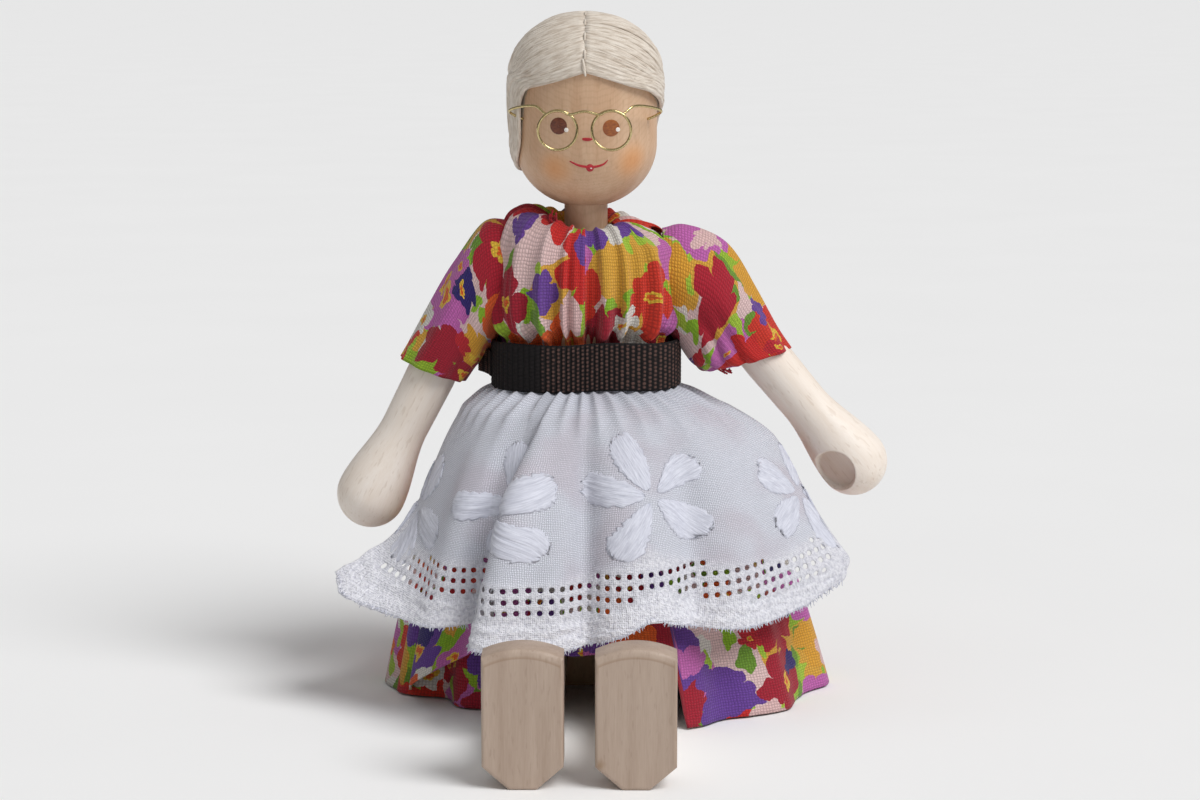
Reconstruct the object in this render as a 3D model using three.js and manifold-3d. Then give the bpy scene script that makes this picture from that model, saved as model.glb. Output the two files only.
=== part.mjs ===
// A dressed wooden doll of dolls' house size, seated with its legs straight out in front.
// Millimetres, +Z up. The doll faces -Y and its own left side is +X.
// The origin is on the ground, under the middle of the torso.

import * as THREE from 'three';
import { mergeVertices } from 'three/addons/utils/BufferGeometryUtils.js';
import Module from 'manifold-3d';

const wasm = await Module();
wasm.setup();

// Clearances
const GAP = 0.3;
const FLOOR_GAP = 0.2;

// Torso block, a rounded board with narrow shoulders
const TORSO_HEIGHT = 56;
const TORSO_HALF_DEPTH = 6;
const HIP_HALF_WIDTH = 10.6;
const HIP_TOP = 14;
const WAIST_HALF_WIDTH = 9.2;
const WAIST_HEIGHT = 41.2;
const WAIST_LENGTH = 6.4;
const SHOULDER_INSET = 2.2;
const SHOULDER_LENGTH = 9;
const TORSO_EDGE = 1.5;
const SQUARENESS = 2.6;
const SHOULDER_SQUARENESS = 4;

// Neck dowel and turned head
const NECK_RADIUS = 2.7;
const NECK_SHOWN = 4.5;
const NECK_BURIED = 8;
const HEAD_RADIUS = 9.2;
const HEAD_HEIGHT = 23.8;
const CHIN_DEPTH = 8;
const CROWN_DEPTH = 7;

// Yarn hair: a cap with an open face, and a roll at the nape
const HAIR_THICKNESS = 0.8;
const HAIR_END = 3.6;
const HAIRLINE_TOP = 17.1;
const HAIRLINE_SIDE = 14.8;
const FACE_HALF_WIDTH = 9.2;
const ROLL_HALF_WIDTH = 8.2;
const ROLL_HALF_HEIGHT = 3.4;
const ROLL_DEPTH = 3;
const ROLL_RISE = 6;

// Spectacles bent from one wire, with its ends in two sockets
const WIRE_RADIUS = 0.2;
const RING_RADIUS = 2.36;
const RING_SPACING = 6.5;
const RING_RISE = 10.2;
const RING_STANDOFF = 1.9;
const WIRE_CROSSING = 1.1;
const RING_OVERLAP = 35;
const BRIDGE_RISE = 2.3;
const TEMPLE_RISE = 2.8;
const TEMPLE_REACH = 5.9;
const SOCKET_RISE = 11.2;
const SOCKET_TURN = 60;
const SOCKET_DEPTH = 1.6;

// Shoulder joint: a peg turning in the torso, with a tongue that carries the arm on a cross pin
const SHOULDER_DROP = 1.5;
const PEG_RADIUS = 2;
const PEG_REACH = 4.8;
const ARM_TONGUE = 1.6;
const ARM_TONGUE_RADIUS = 1.6;
const PIN_RADIUS = 0.4;

// Turned arm
const ARM_LENGTH = 38.6;
const ARM_TOP_RADIUS = 2.6;
const ARM_RADIUS = 3.1;
const WRIST_RADIUS = 2.95;
const WRIST_PLACE = 24.5;
const HAND_RADIUS = 4.35;
const PALM_RADIUS = 2.75;
const PALM_DEPTH = 0.4;
const LEFT_SPREAD = 40;
const RIGHT_SPREAD = 27;
const LEFT_PALM_TURN = 0;
const RIGHT_PALM_TURN = 150;

// Leg on the hip axle, with a foot board on a dowel
const LEG_SPACING = 12.6;
const LEG_RADIUS = 4;
const ANKLE_RADIUS = 3.7;
const LEG_LENGTH = 44.7;
const LEG_TONGUE = 3.6;
const LEG_TONGUE_RADIUS = 3.4;
const AXLE_RADIUS = 0.8;
const FOOT_WIDTH = 9.1;
const FOOT_HEIGHT = 16;
const FOOT_THICKNESS = 5;
const FOOT_BEVEL = 0.35;
const HEEL_WIDTH = 3.1;
const HEEL_CHAMFER = 2.6;
const TOE_CROWN = 0.8;
const FOOT_DOWEL_RADIUS = 1.5;
const FOOT_DOWEL_BURIED = 3;
const LEG_DOWEL_BURIED = 8;

// Dress, apron and belt
const CLOTH = 0.4;
const PLEAT = 0.25;
const PLEAT_COUNT = 12;
const BELT_WIDTH = 6;
const BELT_THICKNESS = 0.6;
const BODICE_PUFF = 0.9;
const BODICE_CHEST = 1.4;
const NECKLINE_DIP = 0.9;
const NECKLINE_ROOM = 0.4;
const SHOULDER_RISE = 3.2;
const SLEEVE_LENGTH = 17.4;
const SLEEVE_PUFF = 1;
const ARMHOLE_RADIUS = 4.3;
const SKIRT_RIGHT_REACH = 25;
const SKIRT_LEFT_REACH = 29;
const SKIRT_HALF_DEPTH = 27;
const SKIRT_FULLNESS = 0.5;
const SKIRT_FOLD = 1.5;
const SKIRT_FOLD_COUNT = 13;
const HEM_GAP = 0.25;
const APRON_HEM_RISE = 11;
const APRON_TIP_RISE = 15.6;
const APRON_RIGHT_TIP = 9.4;
const APRON_LEFT_TIP = 7;
const APRON_TIP_POWER = 6;
const APRON_FRONT_REACH = 4;
const APRON_TOP_TURN = 92;
const APRON_TIP_TURN = 68;
const APRON_SIDE_SWELL = 4.2;
const APRON_GATHER = 0.4;
const APRON_FOLDS = [
  { top: -0.5, hem: -0.56, width: 0.1, rise: 1.3 },
  { top: -0.27, hem: -0.36, width: 0.07, rise: -5 },
  { top: -0.18, hem: -0.27, width: 0.07, rise: 2.6 },
  { top: 0, hem: 0.01, width: 0.06, rise: -2 },
  { top: 0.17, hem: 0.17, width: 0.13, rise: 1.2 },
  { top: 0.42, hem: 0.42, width: 0.07, rise: -1.6 },
  { top: 0.62, hem: 0.58, width: 0.1, rise: 0.8 },
];

// Places worked out from the sizes above
const DEG = Math.PI / 180;
const SHOULDER_HALF_WIDTH = WAIST_HALF_WIDTH - SHOULDER_INSET;
const SHOULDER_X = SHOULDER_HALF_WIDTH + PEG_REACH;
const SHOULDER_Z = TORSO_HEIGHT - SHOULDER_DROP;
const HEAD_BOTTOM = TORSO_HEIGHT + NECK_SHOWN;
const HIP_Z = LEG_RADIUS + FLOOR_GAP;
const LEG_X = LEG_SPACING / 2;
const LEG_START = TORSO_HALF_DEPTH + 2 * GAP;
const BELT_BOTTOM = WAIST_HEIGHT - BELT_WIDTH / 2;
const BELT_TOP = WAIST_HEIGHT + BELT_WIDTH / 2;
const DRESS_ROOM = GAP + CLOTH + PLEAT;
const APRON_ROOM = DRESS_ROOM + PLEAT + GAP + CLOTH;
const BELT_ROOM = APRON_ROOM + GAP + BELT_THICKNESS;

// Materials
const MAPLE = new THREE.MeshStandardMaterial({ color: 0xe6d2b4, roughness: 0.6, metalness: 0 });
const BEECH = new THREE.MeshStandardMaterial({ color: 0xd9b99c, roughness: 0.65, metalness: 0 });
const STEEL = new THREE.MeshStandardMaterial({ color: 0xb9bcc0, roughness: 0.35, metalness: 1 });
const BRASS = new THREE.MeshStandardMaterial({ color: 0xc9a24f, roughness: 0.28, metalness: 1 });
const YARN = new THREE.MeshStandardMaterial({ color: 0xeee3cf, roughness: 0.95, metalness: 0 });
const PRINT = new THREE.MeshStandardMaterial({ color: 0xc8413c, roughness: 0.9, metalness: 0 });
const BATISTE = new THREE.MeshStandardMaterial({ color: 0xf2f0f3, roughness: 0.9, metalness: 0 });
const TAPE = new THREE.MeshStandardMaterial({ color: 0x35201a, roughness: 0.85, metalness: 0 });

const doll = new THREE.Group();

function addPart(name, geometry, material, parent = doll) {
  const mesh = new THREE.Mesh(geometry, material);
  mesh.name = name;
  parent.add(mesh);
  return mesh;
}

// Six times the signed volume, which is positive when the faces point out.
function signedVolume(positions, index) {
  const a = new THREE.Vector3();
  const b = new THREE.Vector3();
  const c = new THREE.Vector3();
  let sum = 0;
  for (let i = 0; i < index.length; i += 3) {
    a.fromArray(positions, 3 * index[i]);
    b.fromArray(positions, 3 * index[i + 1]);
    c.fromArray(positions, 3 * index[i + 2]);
    sum += a.dot(b.cross(c));
  }
  return sum;
}

// A closed solid from any closed geometry.
function solid(geometry) {
  const bare = geometry.clone();
  bare.deleteAttribute('normal');
  bare.deleteAttribute('uv');
  const merged = mergeVertices(bare, 1e-4);
  const positions = new Float32Array(merged.attributes.position.array);
  const index = new Uint32Array(merged.index.array);
  if (signedVolume(positions, index) < 0) {
    for (let i = 0; i < index.length; i += 3) {
      const first = index[i];
      index[i] = index[i + 1];
      index[i + 1] = first;
    }
  }
  return new wasm.Manifold(new wasm.Mesh({ numProp: 3, vertProperties: positions, triVerts: index }));
}

function geometryOf(manifold) {
  const mesh = manifold.getMesh();
  const geometry = new THREE.BufferGeometry();
  geometry.setAttribute('position', new THREE.BufferAttribute(new Float32Array(mesh.vertProperties), 3));
  geometry.setIndex(new THREE.BufferAttribute(new Uint32Array(mesh.triVerts), 1));
  geometry.computeVertexNormals();
  return geometry;
}

// A cylinder between two points.
function rod(from, to, radius, sides = 20) {
  const along = to.clone().sub(from);
  const geometry = new THREE.CylinderGeometry(radius, radius, along.length(), sides);
  const turn = new THREE.Quaternion().setFromUnitVectors(new THREE.Vector3(0, 1, 0), along.normalize());
  geometry.applyQuaternion(turn);
  const middle = from.clone().add(to).multiplyScalar(0.5);
  return geometry.translate(middle.x, middle.y, middle.z);
}

function block(low, high) {
  const size = high.clone().sub(low);
  const middle = low.clone().add(high).multiplyScalar(0.5);
  return new THREE.BoxGeometry(size.x, size.y, size.z).translate(middle.x, middle.y, middle.z);
}

const point = (x, y, z) => new THREE.Vector3(x, y, z);

// A turned piece about the Z axis, from points of radius and height.
function turned(profile, sides) {
  const points = profile.map(([radius, height]) => new THREE.Vector2(radius, height));
  return new THREE.LatheGeometry(points, sides).rotateX(Math.PI / 2);
}

// An outline drawn in Y and Z, extruded along X about the given place.
function extrudeAlongX(shape, width, middle) {
  const geometry = new THREE.ExtrudeGeometry(shape, { depth: width, bevelEnabled: false, curveSegments: 16 });
  geometry.translate(0, 0, -width / 2);
  const basis = new THREE.Matrix4().makeBasis(point(0, 1, 0), point(0, 0, 1), point(1, 0, 0));
  return geometry.applyMatrix4(basis).translate(middle, 0, 0);
}

// Distance from the Z axis to a rounded section, at a turn measured from the front.
function sectionRadius(turn, halfWidth, halfDepth, power = SQUARENESS) {
  const across = Math.abs(Math.sin(turn) / halfWidth) ** power;
  const along = Math.abs(Math.cos(turn) / halfDepth) ** power;
  return (across + along) ** (-1 / power);
}

function aroundZ(turn, radius, height) {
  return point(radius * Math.sin(turn), -radius * Math.cos(turn), height);
}

// Joins the rows of a grid of points with triangles.
function gridFaces(rows, columns, wraps, start, flip) {
  const faces = [];
  const spans = wraps ? columns : columns - 1;
  for (let r = 0; r < rows - 1; r += 1) {
    for (let c = 0; c < spans; c += 1) {
      const a = start + r * columns + c;
      const b = start + r * columns + (c + 1) % columns;
      const up = a + columns;
      const upNext = b + columns;
      faces.push(...(flip ? [a, up, b, b, up, upNext] : [a, b, up, b, upNext, up]));
    }
  }
  return faces;
}

// A sheet of cloth: a grid of points for one face, and the other face one thickness inside it.
function clothSheet(rows, thickness, wraps) {
  const columns = rows[0].length;
  const face = new THREE.BufferGeometry().setFromPoints(rows.flat());
  face.setIndex(gridFaces(rows.length, columns, wraps, 0, false));
  face.computeVertexNormals();
  const normals = face.attributes.normal;
  const outside = rows.flat();
  const inside = outside.map((place, i) => (
    place.clone().addScaledVector(new THREE.Vector3().fromBufferAttribute(normals, i), -thickness)
  ));
  const count = outside.length;
  const index = [
    ...gridFaces(rows.length, columns, wraps, 0, false),
    ...gridFaces(rows.length, columns, wraps, count, true),
  ];
  const edge = [];
  const spans = wraps ? columns : columns - 1;
  const last = (rows.length - 1) * columns;
  for (let c = 0; c < spans; c += 1) {
    edge.push([(c + 1) % columns, c], [last + c, last + (c + 1) % columns]);
  }
  for (let r = 0; !wraps && r < rows.length - 1; r += 1) {
    edge.push([r * columns, (r + 1) * columns]);
    edge.push([(r + 1) * columns + columns - 1, r * columns + columns - 1]);
  }
  for (const [a, b] of edge) {
    index.push(a, b, a + count, b, b + count, a + count);
  }
  const sheet = new THREE.BufferGeometry().setFromPoints([...outside, ...inside]);
  sheet.setIndex(index.reverse());
  return geometryOf(solid(sheet));
}

// A solid through closed rings of points, with flat ends.
function loft(rings) {
  const columns = rings[0].length;
  const points = rings.flat();
  const index = gridFaces(rings.length, columns, true, 0, false);
  const centre = (ring) => ring.reduce((sum, p) => sum.add(p), new THREE.Vector3()).divideScalar(columns);
  const first = points.length;
  points.push(centre(rings[0]), centre(rings[rings.length - 1]));
  const last = (rings.length - 1) * columns;
  for (let c = 0; c < columns; c += 1) {
    const next = (c + 1) % columns;
    index.push(first, next, c, first + 1, last + c, last + next);
  }
  const geometry = new THREE.BufferGeometry().setFromPoints(points);
  geometry.setIndex(index);
  return geometry;
}

// Torso: rounded sections from hips to shoulders, rounded at the front under the hip axle,
// with slots for the leg tongues and bores for axle, pegs and neck.
function makeTorso() {
  const sides = 24;
  const sections = [
    [0, HIP_HALF_WIDTH, 0],
    [HIP_TOP, HIP_HALF_WIDTH, 0],
    [WAIST_HEIGHT - WAIST_LENGTH / 2, WAIST_HALF_WIDTH, 0],
    [WAIST_HEIGHT + WAIST_LENGTH / 2, WAIST_HALF_WIDTH, 0],
    [TORSO_HEIGHT - SHOULDER_LENGTH, SHOULDER_HALF_WIDTH, 0],
    [TORSO_HEIGHT - TORSO_EDGE, SHOULDER_HALF_WIDTH, 0],
    [TORSO_HEIGHT, SHOULDER_HALF_WIDTH, TORSO_EDGE],
  ];
  const rings = sections.map(([height, halfWidth, inset]) => (
    Array.from({ length: sides }, (_, i) => {
      const turn = (2 * Math.PI * i) / sides;
      return aroundZ(turn, sectionRadius(turn, halfWidth - inset, TORSO_HALF_DEPTH - inset), height);
    })
  ));
  const side = new THREE.Shape();
  const front = Math.sqrt(Math.max(TORSO_HALF_DEPTH ** 2 - HIP_Z ** 2, 0));
  side.moveTo(TORSO_HALF_DEPTH + GAP, 0);
  side.lineTo(TORSO_HALF_DEPTH + GAP, TORSO_HEIGHT + GAP);
  side.lineTo(-TORSO_HALF_DEPTH, TORSO_HEIGHT + GAP);
  side.absarc(0, HIP_Z, TORSO_HALF_DEPTH, Math.PI, Math.PI + Math.atan2(HIP_Z, front), false);
  let torso = solid(loft(rings)).intersect(solid(extrudeAlongX(side, 2 * HIP_HALF_WIDTH + 2 * GAP, 0)));
  const slotHalf = LEG_TONGUE / 2 + GAP;
  const slotReach = LEG_TONGUE_RADIUS + GAP;
  for (const sign of [-1, 1]) {
    const slot = block(
      point(sign * LEG_X - slotHalf, -2 * TORSO_HALF_DEPTH, -HIP_Z),
      point(sign * LEG_X + slotHalf, slotReach, HIP_Z + slotReach),
    );
    const peg = rod(
      point(sign * (NECK_RADIUS + 2 * GAP), 0, SHOULDER_Z),
      point(sign * SHOULDER_X, 0, SHOULDER_Z),
      PEG_RADIUS + GAP,
    );
    torso = torso.subtract(solid(slot)).subtract(solid(peg));
  }
  const axle = rod(point(-HIP_HALF_WIDTH - GAP, 0, HIP_Z), point(HIP_HALF_WIDTH + GAP, 0, HIP_Z), AXLE_RADIUS + GAP);
  const neck = rod(
    point(0, 0, TORSO_HEIGHT - NECK_BURIED - GAP),
    point(0, 0, TORSO_HEIGHT + GAP),
    NECK_RADIUS + GAP,
  );
  return geometryOf(torso.subtract(solid(axle)).subtract(solid(neck)));
}

addPart('torso_block', makeTorso(), BEECH);
const axleEnd = HIP_HALF_WIDTH - GAP;
addPart('hip_axle', rod(point(-axleEnd, 0, HIP_Z), point(axleEnd, 0, HIP_Z), AXLE_RADIUS, 16), STEEL);
const neckTop = HEAD_BOTTOM + NECK_BURIED;
addPart('neck_dowel', rod(point(0, 0, TORSO_HEIGHT - NECK_BURIED), point(0, 0, neckTop), NECK_RADIUS), MAPLE);

// Head: a straight turned barrel between an elliptical chin and crown, grown by an offset.
function headProfile(offset) {
  const steps = 6;
  const chinZ = HEAD_BOTTOM + CHIN_DEPTH;
  const crownZ = HEAD_BOTTOM + HEAD_HEIGHT - CROWN_DEPTH;
  const profile = [];
  for (let i = 0; i <= steps; i += 1) {
    const turn = (Math.PI / 2) * (i / steps);
    profile.push([(HEAD_RADIUS + offset) * Math.sin(turn), chinZ - (CHIN_DEPTH + offset) * Math.cos(turn)]);
  }
  for (let i = 0; i <= steps; i += 1) {
    const turn = (Math.PI / 2) * (i / steps);
    profile.push([(HEAD_RADIUS + offset) * Math.cos(turn), crownZ + (CROWN_DEPTH + offset) * Math.sin(turn)]);
  }
  profile[0][0] = 0;
  profile[profile.length - 1][0] = 0;
  return profile;
}

const headSolid = (offset) => solid(turned(headProfile(offset), 24));

// The place of a spectacle socket on the head, at a distance from the head's axis.
function socketPlace(sign, distance) {
  return aroundZ(sign * SOCKET_TURN * DEG, distance, HEAD_BOTTOM + SOCKET_RISE);
}

function makeHead() {
  const neck = rod(point(0, 0, HEAD_BOTTOM - GAP), point(0, 0, neckTop + GAP), NECK_RADIUS + GAP);
  let head = headSolid(0).subtract(solid(neck));
  for (const sign of [-1, 1]) {
    const inner = socketPlace(sign, HEAD_RADIUS - SOCKET_DEPTH - GAP);
    const outer = socketPlace(sign, HEAD_RADIUS + 2 * GAP);
    head = head.subtract(solid(rod(inner, outer, WIRE_RADIUS + GAP, 10)));
  }
  return geometryOf(head);
}

// Hair cap: a shell over the head, parted over an open face and cut level below.
function makeHairCap() {
  const face = new THREE.Shape();
  const reach = 2 * HEAD_RADIUS;
  const low = HEAD_BOTTOM - CHIN_DEPTH;
  face.moveTo(-FACE_HALF_WIDTH, low);
  face.lineTo(FACE_HALF_WIDTH, low);
  face.lineTo(FACE_HALF_WIDTH, HEAD_BOTTOM + HAIRLINE_SIDE);
  face.lineTo(0, HEAD_BOTTOM + HAIRLINE_TOP);
  face.lineTo(-FACE_HALF_WIDTH, HEAD_BOTTOM + HAIRLINE_SIDE);
  const cut = new THREE.ExtrudeGeometry(face, { depth: reach, bevelEnabled: false });
  cut.applyMatrix4(new THREE.Matrix4().makeBasis(point(1, 0, 0), point(0, 0, 1), point(0, -1, 0)));
  const below = block(point(-reach, -reach, low), point(reach, reach, HEAD_BOTTOM + HAIR_END));
  const shell = headSolid(GAP + HAIR_THICKNESS).subtract(headSolid(GAP));
  return geometryOf(shell.subtract(solid(cut)).subtract(solid(below)));
}

// Hair roll: an egg-shaped roll of yarn that lies against the cap at the nape.
function makeHairRoll() {
  const roll = new THREE.SphereGeometry(1, 20, 12);
  roll.scale(ROLL_HALF_WIDTH, ROLL_DEPTH + HAIR_THICKNESS, ROLL_HALF_HEIGHT);
  roll.translate(0, HEAD_RADIUS + HAIR_THICKNESS, HEAD_BOTTOM + ROLL_RISE);
  return geometryOf(solid(roll).subtract(headSolid(2 * GAP + HAIR_THICKNESS)));
}

// Spectacles: socket, temple, a full ring that crosses itself at the top, bridge, ring, temple, socket.
function makeSpectacles() {
  const ringZ = HEAD_BOTTOM + RING_RISE;
  const backY = -HEAD_RADIUS - RING_STANDOFF;
  const frontY = backY - WIRE_CROSSING;
  const templeZ = ringZ + TEMPLE_RISE;
  const ringSteps = 22;
  const path = [];
  const temple = (sign) => [
    socketPlace(sign, HEAD_RADIUS - SOCKET_DEPTH),
    socketPlace(sign, HEAD_RADIUS),
    socketPlace(sign, HEAD_RADIUS + RING_STANDOFF).setZ(HEAD_BOTTOM + SOCKET_RISE + RING_STANDOFF / 2),
    point(sign * TEMPLE_REACH, backY + RING_STANDOFF / 2, templeZ),
  ];
  const ring = (sign, startY, endY) => {
    const from = -RING_OVERLAP * DEG;
    const to = 2 * Math.PI + RING_OVERLAP * DEG;
    for (let i = 0; i <= ringSteps; i += 1) {
      const share = i / ringSteps;
      const turn = from + (to - from) * share;
      const x = sign * RING_SPACING / 2 + RING_RADIUS * Math.sin(turn);
      path.push(point(x, startY + (endY - startY) * share, ringZ + RING_RADIUS * Math.cos(turn)));
    }
  };
  path.push(...temple(-1));
  ring(-1, backY, frontY);
  path.push(point(0, frontY, ringZ + BRIDGE_RISE));
  ring(1, frontY, backY);
  path.push(...temple(1).reverse());
  const section = new THREE.Shape();
  section.absarc(0, 0, WIRE_RADIUS, 0, 2 * Math.PI, false);
  const options = { steps: 96, extrudePath: new THREE.CatmullRomCurve3(path), curveSegments: 3, bevelEnabled: false };
  return new THREE.ExtrudeGeometry(section, options);
}

addPart('head', makeHead(), MAPLE);
addPart('hair_cap', makeHairCap(), YARN);
addPart('hair_roll', makeHairRoll(), YARN);
addPart('spectacles', geometryOf(solid(makeSpectacles())), BRASS);

// Shoulder peg: a dowel in the torso with a flat tongue, rounded and bored for the cross pin.
function makePeg(sign) {
  const start = NECK_RADIUS + 3 * GAP;
  const shoulder = SHOULDER_HALF_WIDTH + GAP;
  const dowel = rod(point(sign * start, 0, 0), point(sign * shoulder, 0, 0), PEG_RADIUS);
  const half = ARM_TONGUE / 2;
  const plate = block(
    point(Math.min(sign * shoulder, sign * SHOULDER_X) - GAP / 2, -half, -ARM_TONGUE_RADIUS),
    point(Math.max(sign * shoulder, sign * SHOULDER_X) + GAP / 2, half, ARM_TONGUE_RADIUS),
  );
  const tip = rod(point(sign * SHOULDER_X, -half, 0), point(sign * SHOULDER_X, half, 0), ARM_TONGUE_RADIUS);
  const bore = rod(
    point(sign * SHOULDER_X, -ARM_TONGUE, 0),
    point(sign * SHOULDER_X, ARM_TONGUE, 0),
    PIN_RADIUS + GAP,
    12,
  );
  const peg = solid(dowel).add(solid(plate)).add(solid(tip)).subtract(solid(bore));
  return geometryOf(peg).translate(0, 0, SHOULDER_Z);
}

// Arm radius at a distance from the shoulder pivot, as far as the wrist.
function armRadius(distance) {
  const share = Math.min(Math.max(distance / SLEEVE_LENGTH, 0), 1);
  return ARM_TOP_RADIUS + (ARM_RADIUS - ARM_TOP_RADIUS) * share;
}

// Arm: a turned club with a round hand, a fork for the tongue, a pin bore and a hollowed palm.
function makeArm(palmTurn) {
  const steps = 5;
  const handPlace = ARM_LENGTH - HAND_RADIUS;
  const profile = [];
  for (let i = 0; i <= steps; i += 1) {
    const turn = (Math.PI / 2) * (i / steps);
    profile.push([HAND_RADIUS * Math.sin(turn), -handPlace - HAND_RADIUS * Math.cos(turn)]);
  }
  for (let i = 1; i <= steps; i += 1) {
    const share = i / steps;
    const swell = (1 + Math.cos(Math.PI * share)) / 2;
    const place = handPlace + (WRIST_PLACE - handPlace) * share;
    profile.push([WRIST_RADIUS + (HAND_RADIUS - WRIST_RADIUS) * swell, -place]);
  }
  profile.push([armRadius(SLEEVE_LENGTH), -SLEEVE_LENGTH]);
  for (let i = 0; i <= steps; i += 1) {
    const turn = (Math.PI / 2) * (i / steps);
    profile.push([ARM_TOP_RADIUS * Math.cos(turn), ARM_TOP_RADIUS * Math.sin(turn)]);
  }
  profile[0][0] = 0;
  profile[profile.length - 1][0] = 0;
  const slotHalf = ARM_TONGUE / 2 + GAP;
  const slot = block(
    point(-2 * ARM_RADIUS, -slotHalf, -ARM_TONGUE_RADIUS - GAP),
    point(2 * ARM_RADIUS, slotHalf, 2 * ARM_RADIUS),
  );
  const bore = rod(point(0, -2 * ARM_RADIUS, 0), point(0, 2 * ARM_RADIUS, 0), PIN_RADIUS + GAP, 12);
  const floor = Math.sqrt(HAND_RADIUS ** 2 - PALM_RADIUS ** 2) - PALM_DEPTH;
  const palm = rod(point(0, -floor, -handPlace), point(0, -2 * HAND_RADIUS, -handPlace), PALM_RADIUS, 24);
  palm.rotateZ(palmTurn * DEG);
  const arm = solid(turned(profile, 20)).subtract(solid(slot)).subtract(solid(bore));
  return geometryOf(arm.subtract(solid(palm)));
}

// Sleeve: rings that fan round the armpit from the upright armhole to the arm, then run down it.
function makeSleeve(sign, spread) {
  const sides = 20;
  const armTurn = spread * DEG;
  const cuffRoom = GAP + CLOTH + GAP;
  const joinPlace = SLEEVE_LENGTH / 2;
  const onArm = (place, radius) => point(
    SHOULDER_X + place * Math.sin(armTurn) - radius * Math.cos(armTurn),
    0,
    SHOULDER_Z - place * Math.cos(armTurn) - radius * Math.sin(armTurn),
  );
  const armhole = WAIST_HALF_WIDTH + 2 * GAP;
  const armpit = point(armhole, 0, SHOULDER_Z - ARMHOLE_RADIUS);
  const joined = onArm(joinPlace, armRadius(joinPlace) + cuffRoom);
  const joinWidth = 2 * armRadius(joinPlace) + 2 * cuffRoom + SLEEVE_PUFF;
  const fan = [[0, 2 * ARMHOLE_RADIUS], [0.4, 2 * ARMHOLE_RADIUS + SLEEVE_PUFF], [0.75, joinWidth + SLEEVE_PUFF / 2]];
  const rings = fan.map(([share, width]) => ({
    inner: armpit.clone().lerp(joined, share * share),
    turn: Math.PI / 2 + (armTurn - Math.PI / 2) * share,
    width,
  }));
  for (const share of [0.5, 0.75, 1]) {
    const place = SLEEVE_LENGTH * share;
    const radius = armRadius(place) + cuffRoom;
    const puff = 2 * SLEEVE_PUFF * (1 - share);
    rings.push({ inner: onArm(place, radius), turn: armTurn, width: 2 * radius + puff });
  }
  const rows = rings.map(({ inner, turn, width }) => (
    Array.from({ length: sides }, (_, i) => {
      const angle = (2 * Math.PI * i) / sides;
      const across = (width / 2) * (1 - Math.cos(angle));
      const x = inner.x + across * Math.cos(turn);
      const z = inner.z + across * Math.sin(turn);
      return point(sign * x, sign * (width / 2) * Math.sin(angle), z);
    })
  ));
  return clothSheet(rows, CLOTH, true);
}

for (const [side, sign, spread, palmTurn] of [
  ['left', 1, LEFT_SPREAD, LEFT_PALM_TURN],
  ['right', -1, RIGHT_SPREAD, RIGHT_PALM_TURN],
]) {
  addPart(`${side}_shoulder_peg`, makePeg(sign), BEECH);
  const shoulder = new THREE.Group();
  shoulder.position.set(sign * SHOULDER_X, 0, SHOULDER_Z);
  shoulder.rotation.y = -sign * spread * DEG;
  doll.add(shoulder);
  addPart(`${side}_arm`, makeArm(palmTurn), MAPLE, shoulder);
  const pinEnd = ARM_TOP_RADIUS - GAP;
  addPart(`${side}_arm_pin`, rod(point(0, -pinEnd, 0), point(0, pinEnd, 0), PIN_RADIUS, 12), STEEL, shoulder);
  addPart(`${side}_sleeve`, makeSleeve(sign, spread), PRINT);
}

// Leg: a turned stick with a flat tongue on the hip axle and a bore for the foot dowel, made along -Y.
function makeLeg() {
  const stick = new THREE.LatheGeometry([
    new THREE.Vector2(0, -LEG_LENGTH),
    new THREE.Vector2(ANKLE_RADIUS, -LEG_LENGTH),
    new THREE.Vector2(LEG_RADIUS, -LEG_LENGTH / 2),
    new THREE.Vector2(LEG_RADIUS, -LEG_START),
    new THREE.Vector2(0, -LEG_START),
  ], 24);
  const outline = new THREE.Shape();
  outline.moveTo(-LEG_START - GAP, -LEG_TONGUE_RADIUS);
  outline.lineTo(0, -LEG_TONGUE_RADIUS);
  outline.absarc(0, 0, LEG_TONGUE_RADIUS, -Math.PI / 2, Math.PI / 2, false);
  outline.lineTo(-LEG_START - GAP, LEG_TONGUE_RADIUS);
  const tongue = extrudeAlongX(outline, LEG_TONGUE, 0);
  const axle = rod(point(-LEG_TONGUE, 0, 0), point(LEG_TONGUE, 0, 0), AXLE_RADIUS + GAP, 16);
  const dowel = rod(
    point(0, -LEG_LENGTH - GAP, 0),
    point(0, -LEG_LENGTH + LEG_DOWEL_BURIED + GAP, 0),
    FOOT_DOWEL_RADIUS + GAP,
    16,
  );
  return geometryOf(solid(stick).add(solid(tongue)).subtract(solid(axle)).subtract(solid(dowel)));
}

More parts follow.
